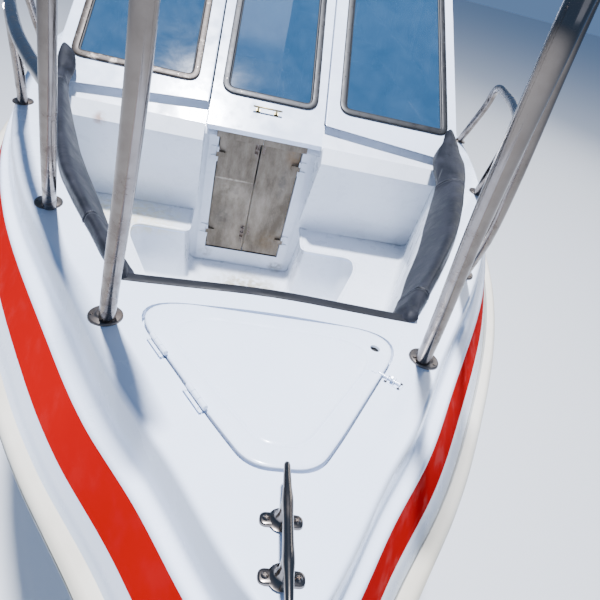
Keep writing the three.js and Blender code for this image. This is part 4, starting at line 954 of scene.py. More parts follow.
# %% [markdown]
# ## Bow well
# The well is its own moulding: sloping sides under the pads, two benches, and a footwell that runs aft to the
# cabin door. Every inside corner of a moulding is a fillet, so the levels below carry one at each turn.

# %% Well moulding
FILLET, EDGE_ROUND, FILLET_STEPS, LINER_WALL = 34, 26, 6, 6


def quarter(radius):
    """Along and down for the steps of a quarter round."""
    turns = [math.radians(90 * k / FILLET_STEPS) for k in range(FILLET_STEPS + 1)]
    return [(radius * (1 - math.cos(a)), radius * (1 - math.sin(a))) for a in turns]


levels = []
for z in (LINER_TOP_Z, 1040, 1000):
    share = (THROAT_Z - z) / (THROAT_Z - SHOULDER_Z)
    levels.append((z, [a.lerp(b, share) for a, b in zip(throat, shoulder)]))
levels += [(SHOULDER_Z - 12, shoulder), (BENCH_Z + 2 * FILLET, shoulder)]
levels += [(BENCH_Z + down, inset_line(shoulder, along)) for along, down in quarter(FILLET)]
levels += [(BENCH_Z - EDGE_ROUND + down, foot_line(along))
           for along, down in [(EDGE_ROUND - a, EDGE_ROUND - d) for a, d in reversed(quarter(EDGE_ROUND))]]
levels += [(FLOOR_Z + down, foot_line(-along)) for along, down in quarter(FILLET)]
points = [p for ring in level_rings(levels) for p in ring]
faces = []
for r in range(len(levels) - 1):
    for i in range(U_POINTS - 1):
        a, b = r * U_POINTS + i, (r + 1) * U_POINTS + i
        faces.append((a, a + 1, b + 1, b))
base = (len(levels) - 1) * U_POINTS
for i in range(HALF_U - 1):
    faces.append((base + i, base + i + 1, base + U_POINTS - 2 - i, base + U_POINTS - 1 - i))
faces.append((base + HALF_U - 1, base + HALF_U, base + HALF_U + 1))
liner = from_faces("bow_well_moulding", points, faces, 30)
lowest = min(liner.data.polygons, key=lambda face: face.center.z)
if lowest.normal.z < 0:
    liner.data.flip_normals()
thick = liner.modifiers.new("thick", "SOLIDIFY")
thick.thickness = LINER_WALL * MM
thick.offset = -1
applied(liner)
keep(liner, WELL_WHITE, "root", "gelcoat_white", "well_liner")

# %% Bulkhead
keep(moulded("cabin_bulkhead", "bulkhead", 6), WELL_WHITE, "root", "gelcoat_white", "bulkhead")

# %% [markdown]
# ## Coaming pads
# The rolls along the well are foam in charcoal vinyl, screwed to the slope below the deck edge. Foam pushes
# its cover out between the seams. Each roll is drawn as a loft from its own rows, remeshed evenly and
# inflated as cloth with its back held. The seams are cut and pulled in afterwards. The starboard roll is
# drawn on the port side too, and turned over at the end.

# %% Pad loft
# Rows: station, half width above and below, lower edge, top, thickness, how far it laps over the deck edge.
# Aft of the seam the rolls lie on the screen's foot, and the port one has slipped outwards over the deck.
PAD_FRONT = (
    (-3014, 398, 366, 1146, 1163, 34, 28), (-2986, 408, 352, 1110, 1165, 42, 26),
    (-2899, 464, 385, 1026, 1165, 40, 16), (-2789, 529, 440, 1028, 1165, 38, 11),
    (-2657, 605, 487, 1028, 1165, 40, 9), (-2474, 695, 567, 1030, 1165, 46, 16),
)
PAD_AFT = {
    "port": (
        (-2220, 780, 680, 1026, 1165, 50, 38), (-2010, 840, 765, 1034, 1165, 48, 52),
        (-1900, 872, 806, 1072, 1165, 66, 58), (-1736, 920, 866, 1082, 1166, 100, 56),
        (-1650, 945, 895, 1090, 1168, 108, 44), (-1592, 962, 914, 1100, 1175, 102, 32),
        (-1530, 980, 934, 1124, 1192, 84, 14), (-1454, 990, 962, 1174, 1218, 66, -8),
        (-1405, 986, 962, 1210, 1232, 40, -22),
    ),
    "starboard": (
        (-2220, 780, 680, 1040, 1165, 32, 17), (-1972, 851, 779, 1062, 1165, 30, 22),
        (-1736, 920, 866, 1098, 1166, 32, 20), (-1650, 945, 895, 1106, 1168, 40, 14),
        (-1592, 962, 914, 1112, 1175, 56, 8), (-1530, 980, 934, 1128, 1192, 80, 5),
        (-1454, 990, 962, 1174, 1218, 70, 3), (-1405, 986, 962, 1210, 1236, 32, 3),
    ),
}
PAD_VOXEL, PAD_PRESSURE, PAD_SWELL, PAD_STEPS = 8, 4.0, 10, 20  # mm, cloth pressure, mm, frames
PAD_SHRINK = 3  # the loft starts this much smaller, mm
PAD_CREST = 24  # how far the roll stands over its top line, mm


def slope_face(outer, inner, z):
    """Half width of the slope that the roll is screwed to, at a level."""
    return outer - max(0.0, THROAT_Z - z) * (outer - inner) / (THROAT_Z - SHOULDER_Z) + 1


def pad_ring(row, thin):
    """The roll's section at a station, port side; 'thin' shrinks its thickness towards an end."""
    y, outer, inner, low, top, thick, over = row
    face = lambda z: slope_face(outer, inner, z)
    crest, thick = PAD_CREST * thin, thick * thin
    base = max(deck_z(outer, y), low + 10)
    corners = [
        (face(low) - 2, low), (face((low + base) / 2), (low + base) / 2), (face(base) + 1, base - 4),
        (face(top) + over * 0.8, base + 4), (face(top) + over + 1, (base + top + crest) / 2),
        (face(top) + over - 4, top + crest * 0.7), (face(top) + over * 0.6 - 12, top + crest),
        (face(top) + over * 0.4 - thick * 0.6, top + crest * 0.92), (face(top) + over * 0.3 - thick, top + 3),
        ((face(low) + face(top)) / 2 - thick + 1, (low + top) / 2 + 12), (face(low) - thick * 0.55, low + 18),
        (face(low) - thick * 0.3, low + 3),
    ]
    middle_x = sum(x for x, _ in corners) / len(corners)
    middle_z = sum(z for _, z in corners) / len(corners)
    line = spline_points([(x, y, z) for x, z in corners], 4, closed=True)
    for p in line:
        inward = Vector((middle_x - p.x, 0, middle_z - p.z))
        p += inward.normalized() * min(PAD_SHRINK, inward.length * 0.3)
    return line


def pad_loft(rows):
    """The loft through the rows; each column runs along its own smooth line."""
    lines = [spline_points([(row[0], row[k], row[k + 1]) for row in rows], 7) for k in (1, 3, 5)]
    rings = []
    count = len(lines[0])
    for i, (a, b, c) in enumerate(zip(*lines)):
        ends = min(i, count - 1 - i) / 7
        thin = min(1.0, 0.35 + 0.65 * math.sin(min(1.0, ends) * math.pi / 2))
        rings.append([p * MM for p in pad_ring((a.x, a.y, a.z, b.y, b.z, c.y, c.z), thin)])
    return skin("pad_loft", rings)


# %% Inflating a padded piece
COVER = {
    "quality": 5, "mass": 0.3, "tension_stiffness": 12, "compression_stiffness": 12, "bending_stiffness": 0.6,
    "use_pressure": True, "vertex_group_mass": "held",
}


def remeshed(piece, voxel_mm):
    """The piece with an even mesh, as a cover needs."""
    even = piece.modifiers.new("even", "REMESH")
    even.mode, even.voxel_size, even.use_smooth_shade = "VOXEL", voxel_mm * MM, True
    return applied(piece)


def inflated(piece, pressure, cap_mm, held, frames=PAD_STEPS):
    """Blows the piece up as cloth; 'held' gives how firmly each point is pinned, 0 to 1."""
    rest = [v.co.copy() for v in piece.data.vertices]
    pins = piece.vertex_groups.new(name="held")
    for v in piece.data.vertices:
        grip = held(v.co)
        if grip > 0:
            pins.add([v.index], grip, "REPLACE")
    cloth = piece.modifiers.new("cover", "CLOTH")
    for key, value in COVER.items():
        setattr(cloth.settings, key, value)
    cloth.settings.uniform_pressure_force = pressure
    cloth.settings.effector_weights.gravity = 0
    cloth.collision_settings.use_collision = False
    cloth.point_cache.frame_start, cloth.point_cache.frame_end = 1, frames
    for number in range(1, frames + 1):
        bpy.context.scene.frame_set(number)
    applied(piece)
    bpy.context.scene.frame_set(1)
    piece.vertex_groups.clear()
    most = 0.0
    for v, start in zip(piece.data.vertices, rest):
        step = v.co - start
        if step.length > cap_mm * MM:
            v.co = start + step.normalized() * (cap_mm * MM)
        most = max(most, (v.co - start).length)
    print(piece.name, "swelled by up to", round(most / MM, 1), "mm,", len(piece.data.vertices), "points")
    return piece


def rounded_off(piece, times):
    """Evens the surface out and halves its mesh size."""
    even = bmesh.new()
    even.from_mesh(piece.data)
    for _ in range(times):
        bmesh.ops.smooth_vert(even, verts=even.verts, factor=0.5, use_axis_x=True, use_axis_y=True,
                use_axis_z=True)
    even.to_mesh(piece.data)
    even.free()
    finer = piece.modifiers.new("finer", "SUBSURF")
    finer.levels = finer.render_levels = 1
    return applied(piece)


# %% Seams
SEAM_HALF, SEAM_DEEP, PUFF, PUFF_AT, PUFF_WIDE = 2.2, 3.2, 1.6, 9, 7  # mm
PUCKER, PUCKER_WIDE, SEAM_FAR, FOLD = 0.9, 28, 60, 1.1
FOLD_SIZE = (0.05, 0.16, 0.03)  # how long the cover's soft folds are along x, y and z, m


def seamed(piece, planes, reach=0.16):
    """Cuts a groove across the roll at each plane (point, direction) and lets the cover pucker beside it."""
    body = bmesh.new()
    body.from_mesh(piece.data)
    for at, along in planes:
        for offset in (-PUFF_AT, -4, -SEAM_HALF, 0, SEAM_HALF, 4, PUFF_AT):
            near = {v for v in body.verts
                    if (v.co - at).length < reach and abs((v.co - at).dot(along)) < 0.02}
            geom = [e for e in body.edges if e.verts[0] in near and e.verts[1] in near]
            geom += [f for f in body.faces if all(v in near for v in f.verts)]
            bmesh.ops.bisect_plane(body, geom=list(near) + geom, plane_co=at + along * offset * MM,
                    plane_no=along, dist=1e-6)
    body.normal_update()
    moves = []
    for v in body.verts:
        push = 0.0
        for at, along in planes:
            d = (v.co - at).dot(along) / MM
            if abs(d) < SEAM_FAR and (v.co - at).length < reach:
                around = noise.noise(v.co / 0.022)
                push -= SEAM_DEEP * math.exp(-(d / SEAM_HALF) ** 2)
                push += PUFF * math.exp(-((abs(d) - PUFF_AT) / PUFF_WIDE) ** 2) * (1 + PUCKER * around)
                push += PUCKER * around * math.exp(-(d / PUCKER_WIDE) ** 2)
        push += FOLD * noise.noise(Vector([c / size for c, size in zip(v.co, FOLD_SIZE)]))
        moves.append(v.normal * (push * MM))
    for v, move in zip(body.verts, moves):
        v.co += move
    body.to_mesh(piece.data)
    body.free()
    soften(piece.data, 60)
    return piece


# %% Both pads
def row_at(rows, y):
    """A pad row's values at any station, straight between the rows."""
    for a, b in zip(rows, rows[1:]):
        if y <= b[0]:
            t = min(1.0, max(0.0, (y - a[0]) / (b[0] - a[0])))
            return [p + (q - p) * t for p, q in zip(a, b)]
    return rows[-1]


PAD_SEAMS = {"port": (-2862, -1965), "starboard": (-2745, -1702)}
pad_planes = {}
for side, word in SIDES:
    rows = PAD_FRONT + PAD_AFT[word]

    def on_back(co):
        """The back is screwed to the slope below the deck, so it holds still."""
        y, outer, inner, low = row_at(rows, co.y / MM)[:4]
        base = max(deck_z(outer, y), low + 10)
        return 1.0 if slope_face(outer, inner, co.z / MM) - co.x / MM < 9 and co.z / MM < base else 0.0

    pad = inflated(remeshed(pad_loft(rows), PAD_VOXEL), PAD_PRESSURE, PAD_SWELL, on_back)
    rounded_off(pad, 2)
    pad.name = "coaming_roll_" + word
    planes = []
    for y in PAD_SEAMS[word]:
        along = Vector((row_at(rows, y + 60)[1] - row_at(rows, y - 60)[1], 120, 0)).normalized()
        planes.append((mm(row_at(rows, y)[1] - 20, y, 1130), along))
    seamed(pad, planes)
    pad_planes[word] = planes
    if side < 0:
        turned_over(pad)
    keep(pad, PAD_VINYL, "root", "vinyl_charcoal", "coaming_pad_" + word)

# %% Trim along the well's front edge
TRIM_AHEAD = 17  # the strip's middle lies this far ahead of the edge, mm
TRIM_SECTION = (
    (17, -1), (16, 2.5), (13, 4), (5, 4.6), (-8, 4.6), (-14, 3.6), (-17, 0), (-17.5, -8), (-15, -14),
    (-14.4, -14), (-14.4, -1),
)
front = [p for p in throat if p.y < -2915]
path = []
for before, p, after in zip(front, front[1:], front[2:]):
    outward = Vector((after.y - before.y, before.x - after.x)).normalized() * TRIM_AHEAD
    if outward.dot(Vector((p.x, p.y + 2200))) < 0:
        outward.negate()
    path.append(mm(p.x + outward.x, p.y + outward.y, deck_z(p.x + outward.x, p.y + outward.y)))
edge_trim = sweep("well_edge_trim", path, TRIM_SECTION, fixed_up=True)
keep(edge_trim, TRIM, "root", "vinyl_charcoal")

# %% [markdown]
# ## Rails
# The rails are one inch and a half stainless tube, bent cold and welded to disc flanges. The tube's middle
# line runs through the same points as the frame's rails, and a round section is swept along it.

# %% Rail tubes
RAIL_BASE_Z = 1150
RAIL_LEAN = 0.0455  # the rails have been pushed to starboard, by this share of their height
BOW_LOOP = (
    (398, -3166, -20), (368, -3216, 165), (317, -3292, 465), (280, -3359, 715), (270, -3380, 850),
    (310, -3320, 940), (400, -3165, 965), (485, -3020, 925), (513, -2977, 742), (556, -2924, 442),
    (592, -2862, 250), (640, -2752, 80), (676, -2664, -40),
)
SIDE_RAIL = (
    (556, -2924, 442), (670, -2700, 415), (789, -2450, 400), (984, -1950, 380), (1060, -1690, 362),
    (1102, -1480, 343), (1122, -1405, 300), (1130, -1365, 235), (1165, -1105, -70),
)
MID_POST = ((1013, -1879, -58), (893, -2205, 392))
TUBE_R, TUBE_SIDES = 19, 28


def rail_line(table, side, steps):
    """A rail's middle line in metres: through its points, mirrored, then leaned."""
    out = []
    for p in spline_points([(x, y, z + RAIL_BASE_Z) for x, y, z in table], steps):
        lean = RAIL_LEAN * max(0.0, p.z - RAIL_BASE_Z)
        out.append(mm(side * p.x - lean, p.y, p.z))
    return out


def on_deck(x, y, up=0.0):
    """A point on the deck in metres, and the deck's upward normal there."""
    step = 20
    across = Vector((2 * step, 0, deck_z(x + step, y) - deck_z(x - step, y)))
    along = Vector((0, 2 * step, deck_z(x, y + step) - deck_z(x, y - step)))
    normal = across.cross(along).normalized()
    return mm(x, y, deck_z(x, y)) + normal * (up * MM), normal


FLANGE = ((40, 0.2), (40, 4.5), (38.6, 6.6), (35.5, 7.6), (26, 8.0), (23.5, 9.4), (21.5, 12), (19.2, 13.5))
RAIL_FEET = (BOW_LOOP[0], BOW_LOOP[-1], SIDE_RAIL[-1], MID_POST[0])

for side, word in SIDES:
    parts = []
    for table, steps in ((BOW_LOOP, 14), (SIDE_RAIL, 12), (MID_POST, 2)):
        tube = sweep("tube", rail_line(table, side, steps), circle(TUBE_R, TUBE_SIDES))
        parts.append(painted(tube, STEEL))
    for x, y, _ in RAIL_FEET:
        at, normal = on_deck(side * x, y)
        parts.append(painted(turned("flange", FLANGE, 40, normal, at), FLANGE_STEEL))
    rail = joined("bow_rail_tube_" + word, parts, 40)
    keep(rail, None, "root", "stainless", "bow_rail_" + word)

# %% [markdown]
# ## Cleats
# A cast deck cleat: two pedestals screwed down through wings, and a bar that is thickest over the posts and
# tapers to round ends. The bar is a turned profile; castings have soft corners, so all edges are rounded.

# %% Cleats
CLEATS = (  # piece, node, x, y, the bar's length, how far apart the posts are, turn
    ("bow_mooring_cleat", "bow_cleat", -11, -3735, 250, 94, -0.04),
    ("stern_mooring_cleat_port", "stern_cleat_port", 1120, 3500, 220, 75, 0),
    ("stern_mooring_cleat_starboard", "stern_cleat_starboard", -1120, 3500, 220, 75, 0),
)
CLEAT_BAR_HIGH = 52
CLEAT_POST = ((22, 5.5), (15, 8), (11, 14), (9.2, 24), (9, 36), (9.6, 46), (8, 52))
CLEAT_WING = ((-36, -12, 11), (36, -12, 11), (36, 12, 11), (-36, 12, 11))
WING_STEPS = ((1, -5), (1, 4), (0.97, 5.6), (0.9, 6.4), (0.4, 6.8))


def cleat(name, node, x, y, length, spread, turn):
    ends = length / 2
    rows = [(ends, 0.4), (ends - 0.8, 2.6), (ends - 3, 4.6), (ends - 8, 5.7), (spread / 2 + 25, 7.5),
            (spread / 2 + 9, 9.2), (spread / 2, 9.5), (spread / 2 - 9, 9.2), (spread / 4, 8.6), (0, 8.5)]
    profile = [(r, -h) for h, r in rows] + [(r, h) for h, r in reversed(rows[:-1])]
    parts = [turned("bar", profile, 24, Vector((0, 1, 0)), UPWARD * CLEAT_BAR_HIGH * MM)]
    wing = rounded_outline(CLEAT_WING, 5)
    for at in (-spread / 2, spread / 2):
        rings = [[mm(p.x * s, p.y * s + at, z) for p in wing] for s, z in WING_STEPS]
        parts += [turned("post", CLEAT_POST, 20, at=mm(0, at, 0)), skin("wing", rings)]
    made = joined(name, parts, 40)
    slope = math.atan((deck_z(x, y + 60) - deck_z(x, y - 60)) / 120)
    lean = 0 if abs(x) < 50 else math.copysign(math.atan(CAMBER), x)
    place = (Matrix.Translation(mm(x, y, deck_z(x, y))) @ Matrix.Rotation(turn, 4, "Z")
             @ Matrix.Rotation(lean, 4, "Y") @ Matrix.Rotation(slope, 4, "X"))
    made.data.transform(place)
    keep(made, BRIGHT, "root", "stainless", node)


for row in CLEATS:
    cleat(*row)

# %% [markdown]
# ## Windscreen
# Three moulded panels stand on the raked screen plane. Each has an extruded aluminium window frame round its
# opening: a flat bar with rounded edges, a lip down through the hole, and a rubber bead that holds the pane.

# %% Screen plane and outlines
SCREEN_FOOT_Y, SCREEN_FOOT_Z, SCREEN_RISE = -1560, 1090, math.radians(36.6)
SCREEN_OUT = Vector((0, -math.sin(SCREEN_RISE), math.cos(SCREEN_RISE)))
SIDE_WINDOW = ((356, 171, 70), (958, 171, 60), (912, 1220, 70), (356, 1220, 70))
CENTRE_WINDOW = ((-245, 149, 75), (245, 149, 75), (232, 1190, 60), (-232, 1190, 60))


def on_screen(x, v, out=0.0):
    """A point of the screen's plane in metres: across, up the slope, out of the face, in mm."""
    y = SCREEN_FOOT_Y + v * math.cos(SCREEN_RISE) - out * math.sin(SCREEN_RISE)
    z = SCREEN_FOOT_Z + v * math.sin(SCREEN_RISE) + out * math.cos(SCREEN_RISE)
    return mm(x, y, z)


# %% Panels
for word, node in (("port", "windscreen_port"), ("starboard", "windscreen_starboard"),
        ("centre", "windscreen_centre"), ("header", "screen_header")):
    body = "centre_screen" if word == "centre" else "root"
    keep(moulded("screen_panel_" + word, node, 5), WHITE, body, "gelcoat_white", node)

# %% Window frames
FRAME_SECTION = (
    (0, 0.3), (0, 7), (-1.5, 9.2), (-4.5, 10.3), (-28, 10.3), (-32, 9.4), (-34.4, 6.5), (-35, 2), (-35, -23),
    (-18, -23), (-18, 0.3),
)
SEAL_SECTION = ((-34.6, 3.5), (-37.5, 3.2), (-40.5, 0.5), (-41, -3.7), (-34.6, -3.7))


def window_outline(corners, side):
    turn = [(side * x, v, r) for x, v, r in corners]
    if side < 0:
        turn.reverse()
    return rounded_outline(turn, 10)


def swept_on_screen(name, outline, section):
    path = [on_screen(p.x, p.y) for p in outline]
    return sweep(name, path, section, closed=True, upward=SCREEN_OUT, fixed_up=True)


WINDOWS = (  # name, corners, side, body, frame's metal, its finish's name
    ("port", SIDE_WINDOW, 1, "root", BLACK_FRAME, "frame_black"),
    ("starboard", SIDE_WINDOW, -1, "root", BRONZE, "frame_bronze"),
    ("centre", CENTRE_WINDOW, 1, "centre_screen", DARK_FRAME, "frame_bronze"),
)
for word, corners, side, body, metal, slot in WINDOWS:
    outline = window_outline(corners, side)
    bar = swept_on_screen("window_bar_" + word, outline, FRAME_SECTION)
    keep(bar, metal, body, slot, "window_frame_" + word)
    keep(swept_on_screen("window_seal_" + word, outline, SEAL_SECTION), RUBBER, body, "frame_black")
    painted(NODES["window_glass_" + word], GLASS)

# %% [markdown]
# ## Cabin
# The cabin sides, the back and the roof are thin mouldings. The side windows are one tinted strip behind the
# pillars, held in black rubber gaskets that show as a thin ring round every opening.

# %% Cabin walls
SIDE_LEAN, SIDE_FOOT_X, SIDE_FOOT_Z = math.radians(4.9), 1035, 1090
SIDE_WINDOWS = ((-760, -140, 330), (-40, 660, 0), (760, 1460, 0), (1560, 2160, 0))
SILL_H, HEAD_H, SIDE_CORNER = 200, 680, 60


def on_side(y, h, out, side):
    x = SIDE_FOOT_X - h * math.sin(SIDE_LEAN) + out * math.cos(SIDE_LEAN)
    z = SIDE_FOOT_Z + h * math.cos(SIDE_LEAN) + out * math.sin(SIDE_LEAN)
    return mm(side * x, y, z)


GASKET = ((9, 0.2), (9, 2.5), (6, 5), (1, 5.5), (-4, 4), (-6, 0), (-6, -9.6), (-1, -9.6), (-0.5, 0.2))
for side, word in SIDES:
    node = "cabin_side_" + word
    keep(moulded("cabin_wall_" + word, node, 5), WHITE, "root", "gelcoat_white", node)
    rings = []
    for y0, y1, rake in SIDE_WINDOWS:
        turn = [(y0, SILL_H, SIDE_CORNER), (y1, SILL_H, SIDE_CORNER), (y1, HEAD_H, SIDE_CORNER),
                (y0 + rake, HEAD_H, SIDE_CORNER)]
        outline = rounded_outline(turn, 8)
        if side < 0:
            outline.reverse()
        out = (on_side(0, 0, 1, side) - on_side(0, 0, 0, side)).normalized()
        path = [on_side(p.x, p.y, 0, side) for p in outline]
        rings.append(sweep("gasket", path, GASKET, closed=True, upward=out, fixed_up=True))
    keep(joined("side_window_gaskets_" + word, rings, 45), RUBBER, "root", "frame_black")
    painted(NODES["side_glass_" + word], SIDE_GLASS)

keep(moulded("cabin_back_wall", "cabin_back", 5), WHITE, "root", "gelcoat_white", "cabin_back")
painted(NODES["sole"], SOLE_PAINT)

# %% Roof
ROOF_ROWS = (
    (-560, 0.8, 0.25), (-470, 0.93, 0.6), (-260, 1, 0.9), (200, 1, 1), (2250, 1, 0.95), (2450, 0.97, 0.75),
)
ROOF_HALF, ROOF_UNDER, ROOF_EDGE, ROOF_CROWN = 1005, 1890.3, 24, 70
ROOF_THIN = (0.35, 0.75, 0.92, 1.0)  # its thickness by steps in from the front and after edges
ROOF_STEPS, ROOF_ROUND, ROOF_DROOP = 32, 0.985, 0.45  # the outermost part of the half width rounds down
roof_line = spline_points([(wide * 1000, y, high * 1000) for y, wide, high in ROOF_ROWS], 8)
rings = []
for i, p in enumerate(roof_line):
    wide, high = p.x / 1000, p.z / 1000
    thin = ROOF_THIN[min(i, len(roof_line) - 1 - i, 3)]
    half = ROOF_HALF * wide
    top = []
    for k in range(ROOF_STEPS + 1):
        t = 2 * k / ROOF_STEPS - 1
        z = ROOF_EDGE + ROOF_CROWN * high * (1 - t * t)
        droop = 1 - max(0.0, (abs(t) - ROOF_ROUND) / (1 - ROOF_ROUND)) * ROOF_DROOP
        top.append(Vector((half * t, p.y, ROOF_UNDER + z * droop * thin)))
    under = [Vector((half * t, p.y, ROOF_UNDER)) for t in (0.995, 0.5, 0, -0.5, -0.995)]
    rings.append([q * MM for q in top + under])
keep(skin("cabin_roof", rings, smooth_angle=50), WHITE, "root", "gelcoat_white", "roof")

# %% [markdown]
# ## Hatch lid
# The chain locker's lid is a shallow moulding: a rolled edge, a flat border, and a shallow crease inside it.
# It is drawn as rings stepped inwards from its outline, each at its own height over the deck, so the lid
# follows the deck's crown exactly as the real one does.

# %% Lid
LID_STEPS = (  # out from the lid's edge and over the deck, mm
    (0, -24), (0, -6), (0, 0), (-1.2, 3.2), (-4, 5.2), (-9, 6), (-46, 6), (-50, 5.2), (-53, 3.4), (-56, 3),
    (-59, 4.6), (-63, 5.6), (-70, 6),
)
LID_MIDDLE, FINGER_HOLE = Vector((0, -3250)), Vector((262, -3163))
FINGER_CUP_AND_SHADE = ((11.4, -12), (11.4, 0.5), (10.4, 1), (9, -4), (1, -6))


def over_deck(line, height):
    return [mm(p.x, p.y, deck_z(p.x, p.y) + height) for p in line]


rings = [over_deck(hatch_line(grow), height) for grow, height in LID_STEPS]
inner, level_at = hatch_line(LID_STEPS[-1][0]), LID_STEPS[-1][1]
rings += [over_deck([LID_MIDDLE.lerp(p, share) for p in inner], level_at) for share in (0.75, 0.5, 0.25)]
lid = skin("locker_lid", rings)
hole_at, hole_up = on_deck(FINGER_HOLE.x, FINGER_HOLE.y)
cut_away(lid, [turned("cut", ((11, -14), (12, 2), (15, 12)), 28, hole_up, hole_at)])
soften(lid.data, 33)
keep(lid, WHITE, "hatch", "gelcoat_white", "hatch_lid")
# A black cup lines the finger hole. Its black is also painted shade, darkening the hole as its own shadow
# would.
cup_and_shade = turned("finger_cup_and_shade", FINGER_CUP_AND_SHADE, 28, hole_up, hole_at)
keep(cup_and_shade, RUBBER, "hatch", "black_plastic")

# %% [markdown]
# ### Lid hinges and bolt
# Two butt hinges join the lid to the deck on the starboard side, each with three knuckles round one pin. A
# small barrel bolt, painted over with the deck, holds the port side shut. They are built in a local frame,
# along the pin and out from the deck, and then set in place.

# %% A local frame
def placed(piece, at, along, outward):
    """Moves a piece drawn with X along and Z outward to its place, point 'at' in metres."""
    x = Vector(along).normalized()
    z = (Vector(outward) - x * x.dot(Vector(outward))).normalized()
    piece.data.transform(Matrix.Translation(at) @ Matrix((x, z.cross(x), z)).transposed().to_4x4())
    return piece


def plate(x0, x1, y0, y1, thick, corner=3, z0=0.0):
    """A small sheet metal plate with round corners, mm."""
    line = rounded_outline([(x0, y0, corner), (x1, y0, corner), (x1, y1, corner), (x0, y1, corner)], 4)
    steps = ((1, z0), (1, z0 + thick * 0.75), (0.985, z0 + thick))
    middle = Vector(((x0 + x1) / 2, (y0 + y1) / 2))
    rings = [[(middle.lerp(p, s).to_3d() + Vector((0, 0, z))) * MM for p in line] for s, z in steps]
    return skin("plate", rings)


def rod(radius, x0, x1, y=0.0, z=0.0, sides=16):
    ends = [(radius * 0.8, x0), (radius, x0 + 0.8), (radius, x1 - 0.8), (radius * 0.8, x1)]
    return turned("rod", ends, sides, ACROSS, mm(0, y, z))


def strap(x, half, over, rise, thick, steps):
    """A bolt's strap, bent over the rod; 'half' its width, and 'over' and 'rise' the bend's reach, mm."""
    turns = [math.pi * k / steps for k in range(steps + 1)]
    arch = [mm(x, over * math.cos(a), 2 + rise * math.sin(a)) for a in turns]
    return sweep("strap", arch, [(-half, 0), (half, 0), (half, thick), (-half, thick)], upward=ACROSS)


# %% Lid hinges
HINGE_AXIS = Vector((0.508785, -0.849343, 0.140547))
LID_PINS = (Vector((-0.263227, -3.263403, 1.196046)), Vector((-0.16713, -3.423822, 1.222592)))
KNUCKLE_R, HINGE_HALF, PLAY = 6, 39, 0.4
LEAF_FROM, LEAF_TO, LEAF_THICK = 6.6, 13, 1.2
LEAF_SCREWS, SCREWS_OUT = (-28, 28), 10
THIRD = HINGE_HALF * 2 / 3
LEAVES = (  # body, the knuckles' spans, side
    ("root", ((-HINGE_HALF, -HINGE_HALF + THIRD), (HINGE_HALF - THIRD, HINGE_HALF)), 1),
    ("hatch", ((-HINGE_HALF + THIRD, HINGE_HALF - THIRD),), -1),
)
screws = {"root": [], "hatch": []}
for i, pin in enumerate(LID_PINS):
    up = on_deck(pin.x / MM, pin.y / MM)[1]
    drop = (pin - on_deck(pin.x / MM, pin.y / MM)[0]).dot(up) / MM
    for body, spans, side in LEAVES:
        lift = LID_PROUD if body == "hatch" else 0
        parts = [rod(KNUCKLE_R, a + PLAY, b - PLAY) for a, b in spans]
        y0, y1 = sorted((side * LEAF_FROM, side * LEAF_TO))
        parts.append(plate(-HINGE_HALF, HINGE_HALF, y0, y1, LEAF_THICK, 2, lift - drop + 0.2))
        hinge = placed(joined("lid_hinge_%s_%d" % (body, i + 1), parts), pin, HINGE_AXIS, up)
        keep(hinge, WHITE, body, "gelcoat_white")
        across = up.cross(HINGE_AXIS).normalized()
        for a in LEAF_SCREWS:
            spot = pin + HINGE_AXIS * (a * MM) + across * (side * SCREWS_OUT * MM)
            screws[body].append((spot + up * ((lift - drop + 1.3) * MM), up))

# %% Lid bolt
BOLT_AT, BOLT_END = Vector((262, -3266)), Vector((309, -3301))
BOLT_KNOB = ((2, 0), (2, 9), (4, 11), (4.4, 14), (3, 16.5))
bolt_from, bolt_up = on_deck(BOLT_AT.x, BOLT_AT.y)
bolt_along = on_deck(BOLT_END.x, BOLT_END.y)[0] - bolt_from
parts = [plate(6, 52, -15, 15, 1.6, 3), rod(3.6, -14, 44, 0, 6.2), rod(3, 21, 25, 6, 8)]
parts += [strap(x, 3, 9.5, 9, 1.2, 10) for x in (12, 30, 44)]
parts.append(turned("knob", BOLT_KNOB, 16, Vector((0, -0.5, 0.87)), mm(23, -2, 6)))
bolt = placed(joined("lid_bolt", parts, 40), bolt_from, bolt_along, bolt_up)
keep(bolt, WHITE, "root", "gelcoat_white")
keeper = joined("lid_bolt_keeper", [plate(-30, -15, -11, 11, 1.6, 3, LID_PROUD + 0.3)])
placed(keeper, bolt_from, bolt_along, bolt_up)
keep(keeper, WHITE, "hatch", "gelcoat_white")
side_way = bolt_up.cross(bolt_along).normalized()
for x, y in ((12, -11.5), (12, 11.5), (46, -11.5), (46, 11.5)):
    spot = bolt_from + bolt_along.normalized() * (x * MM) + side_way * (y * MM) + bolt_up * (1.7 * MM)
    screws["root"].append((spot, bolt_up))

# %% [markdown]
# ## Door leaves
# The two leaves are bare sheet folded over a frame. Their hinges and tower bolts are cheap mild steel, and
# both have rusted; the lower bolt has left a streak down to the sill.

# %% Door leaves
for word in ("port", "starboard"):
    leaf = moulded("cabin_door_leaf_" + word, "door_" + word, 1.5)
    keep(leaf, DOOR_METAL, "door_leaf_" + word, "door_metal", "door_" + word)

# %% Sheet over the lintel's edge, and the dark gap seal under the leaves
LINTEL_Y, LINTEL_LOW = -1556, 1000
sheets = []
for x0, x1 in ((-232, -1), (1, 224)):
    low, high = (x0, LINTEL_Y - 2.2, LINTEL_LOW - 2), (x1, LINTEL_Y - 0.6, LINTEL_LOW + 44)
    sheets.append(block("sheet", low, high, 0.5))
keep(joined("door_lintel_sheet", sheets), DOOR_METAL, "root", "door_metal")
seal = block("door_sill_seal", (-213, BULKHEAD_Y - 6, 288.5), (213, BULKHEAD_Y + 4, 292), 1)
keep(seal, RUBBER, "root", "black_plastic")

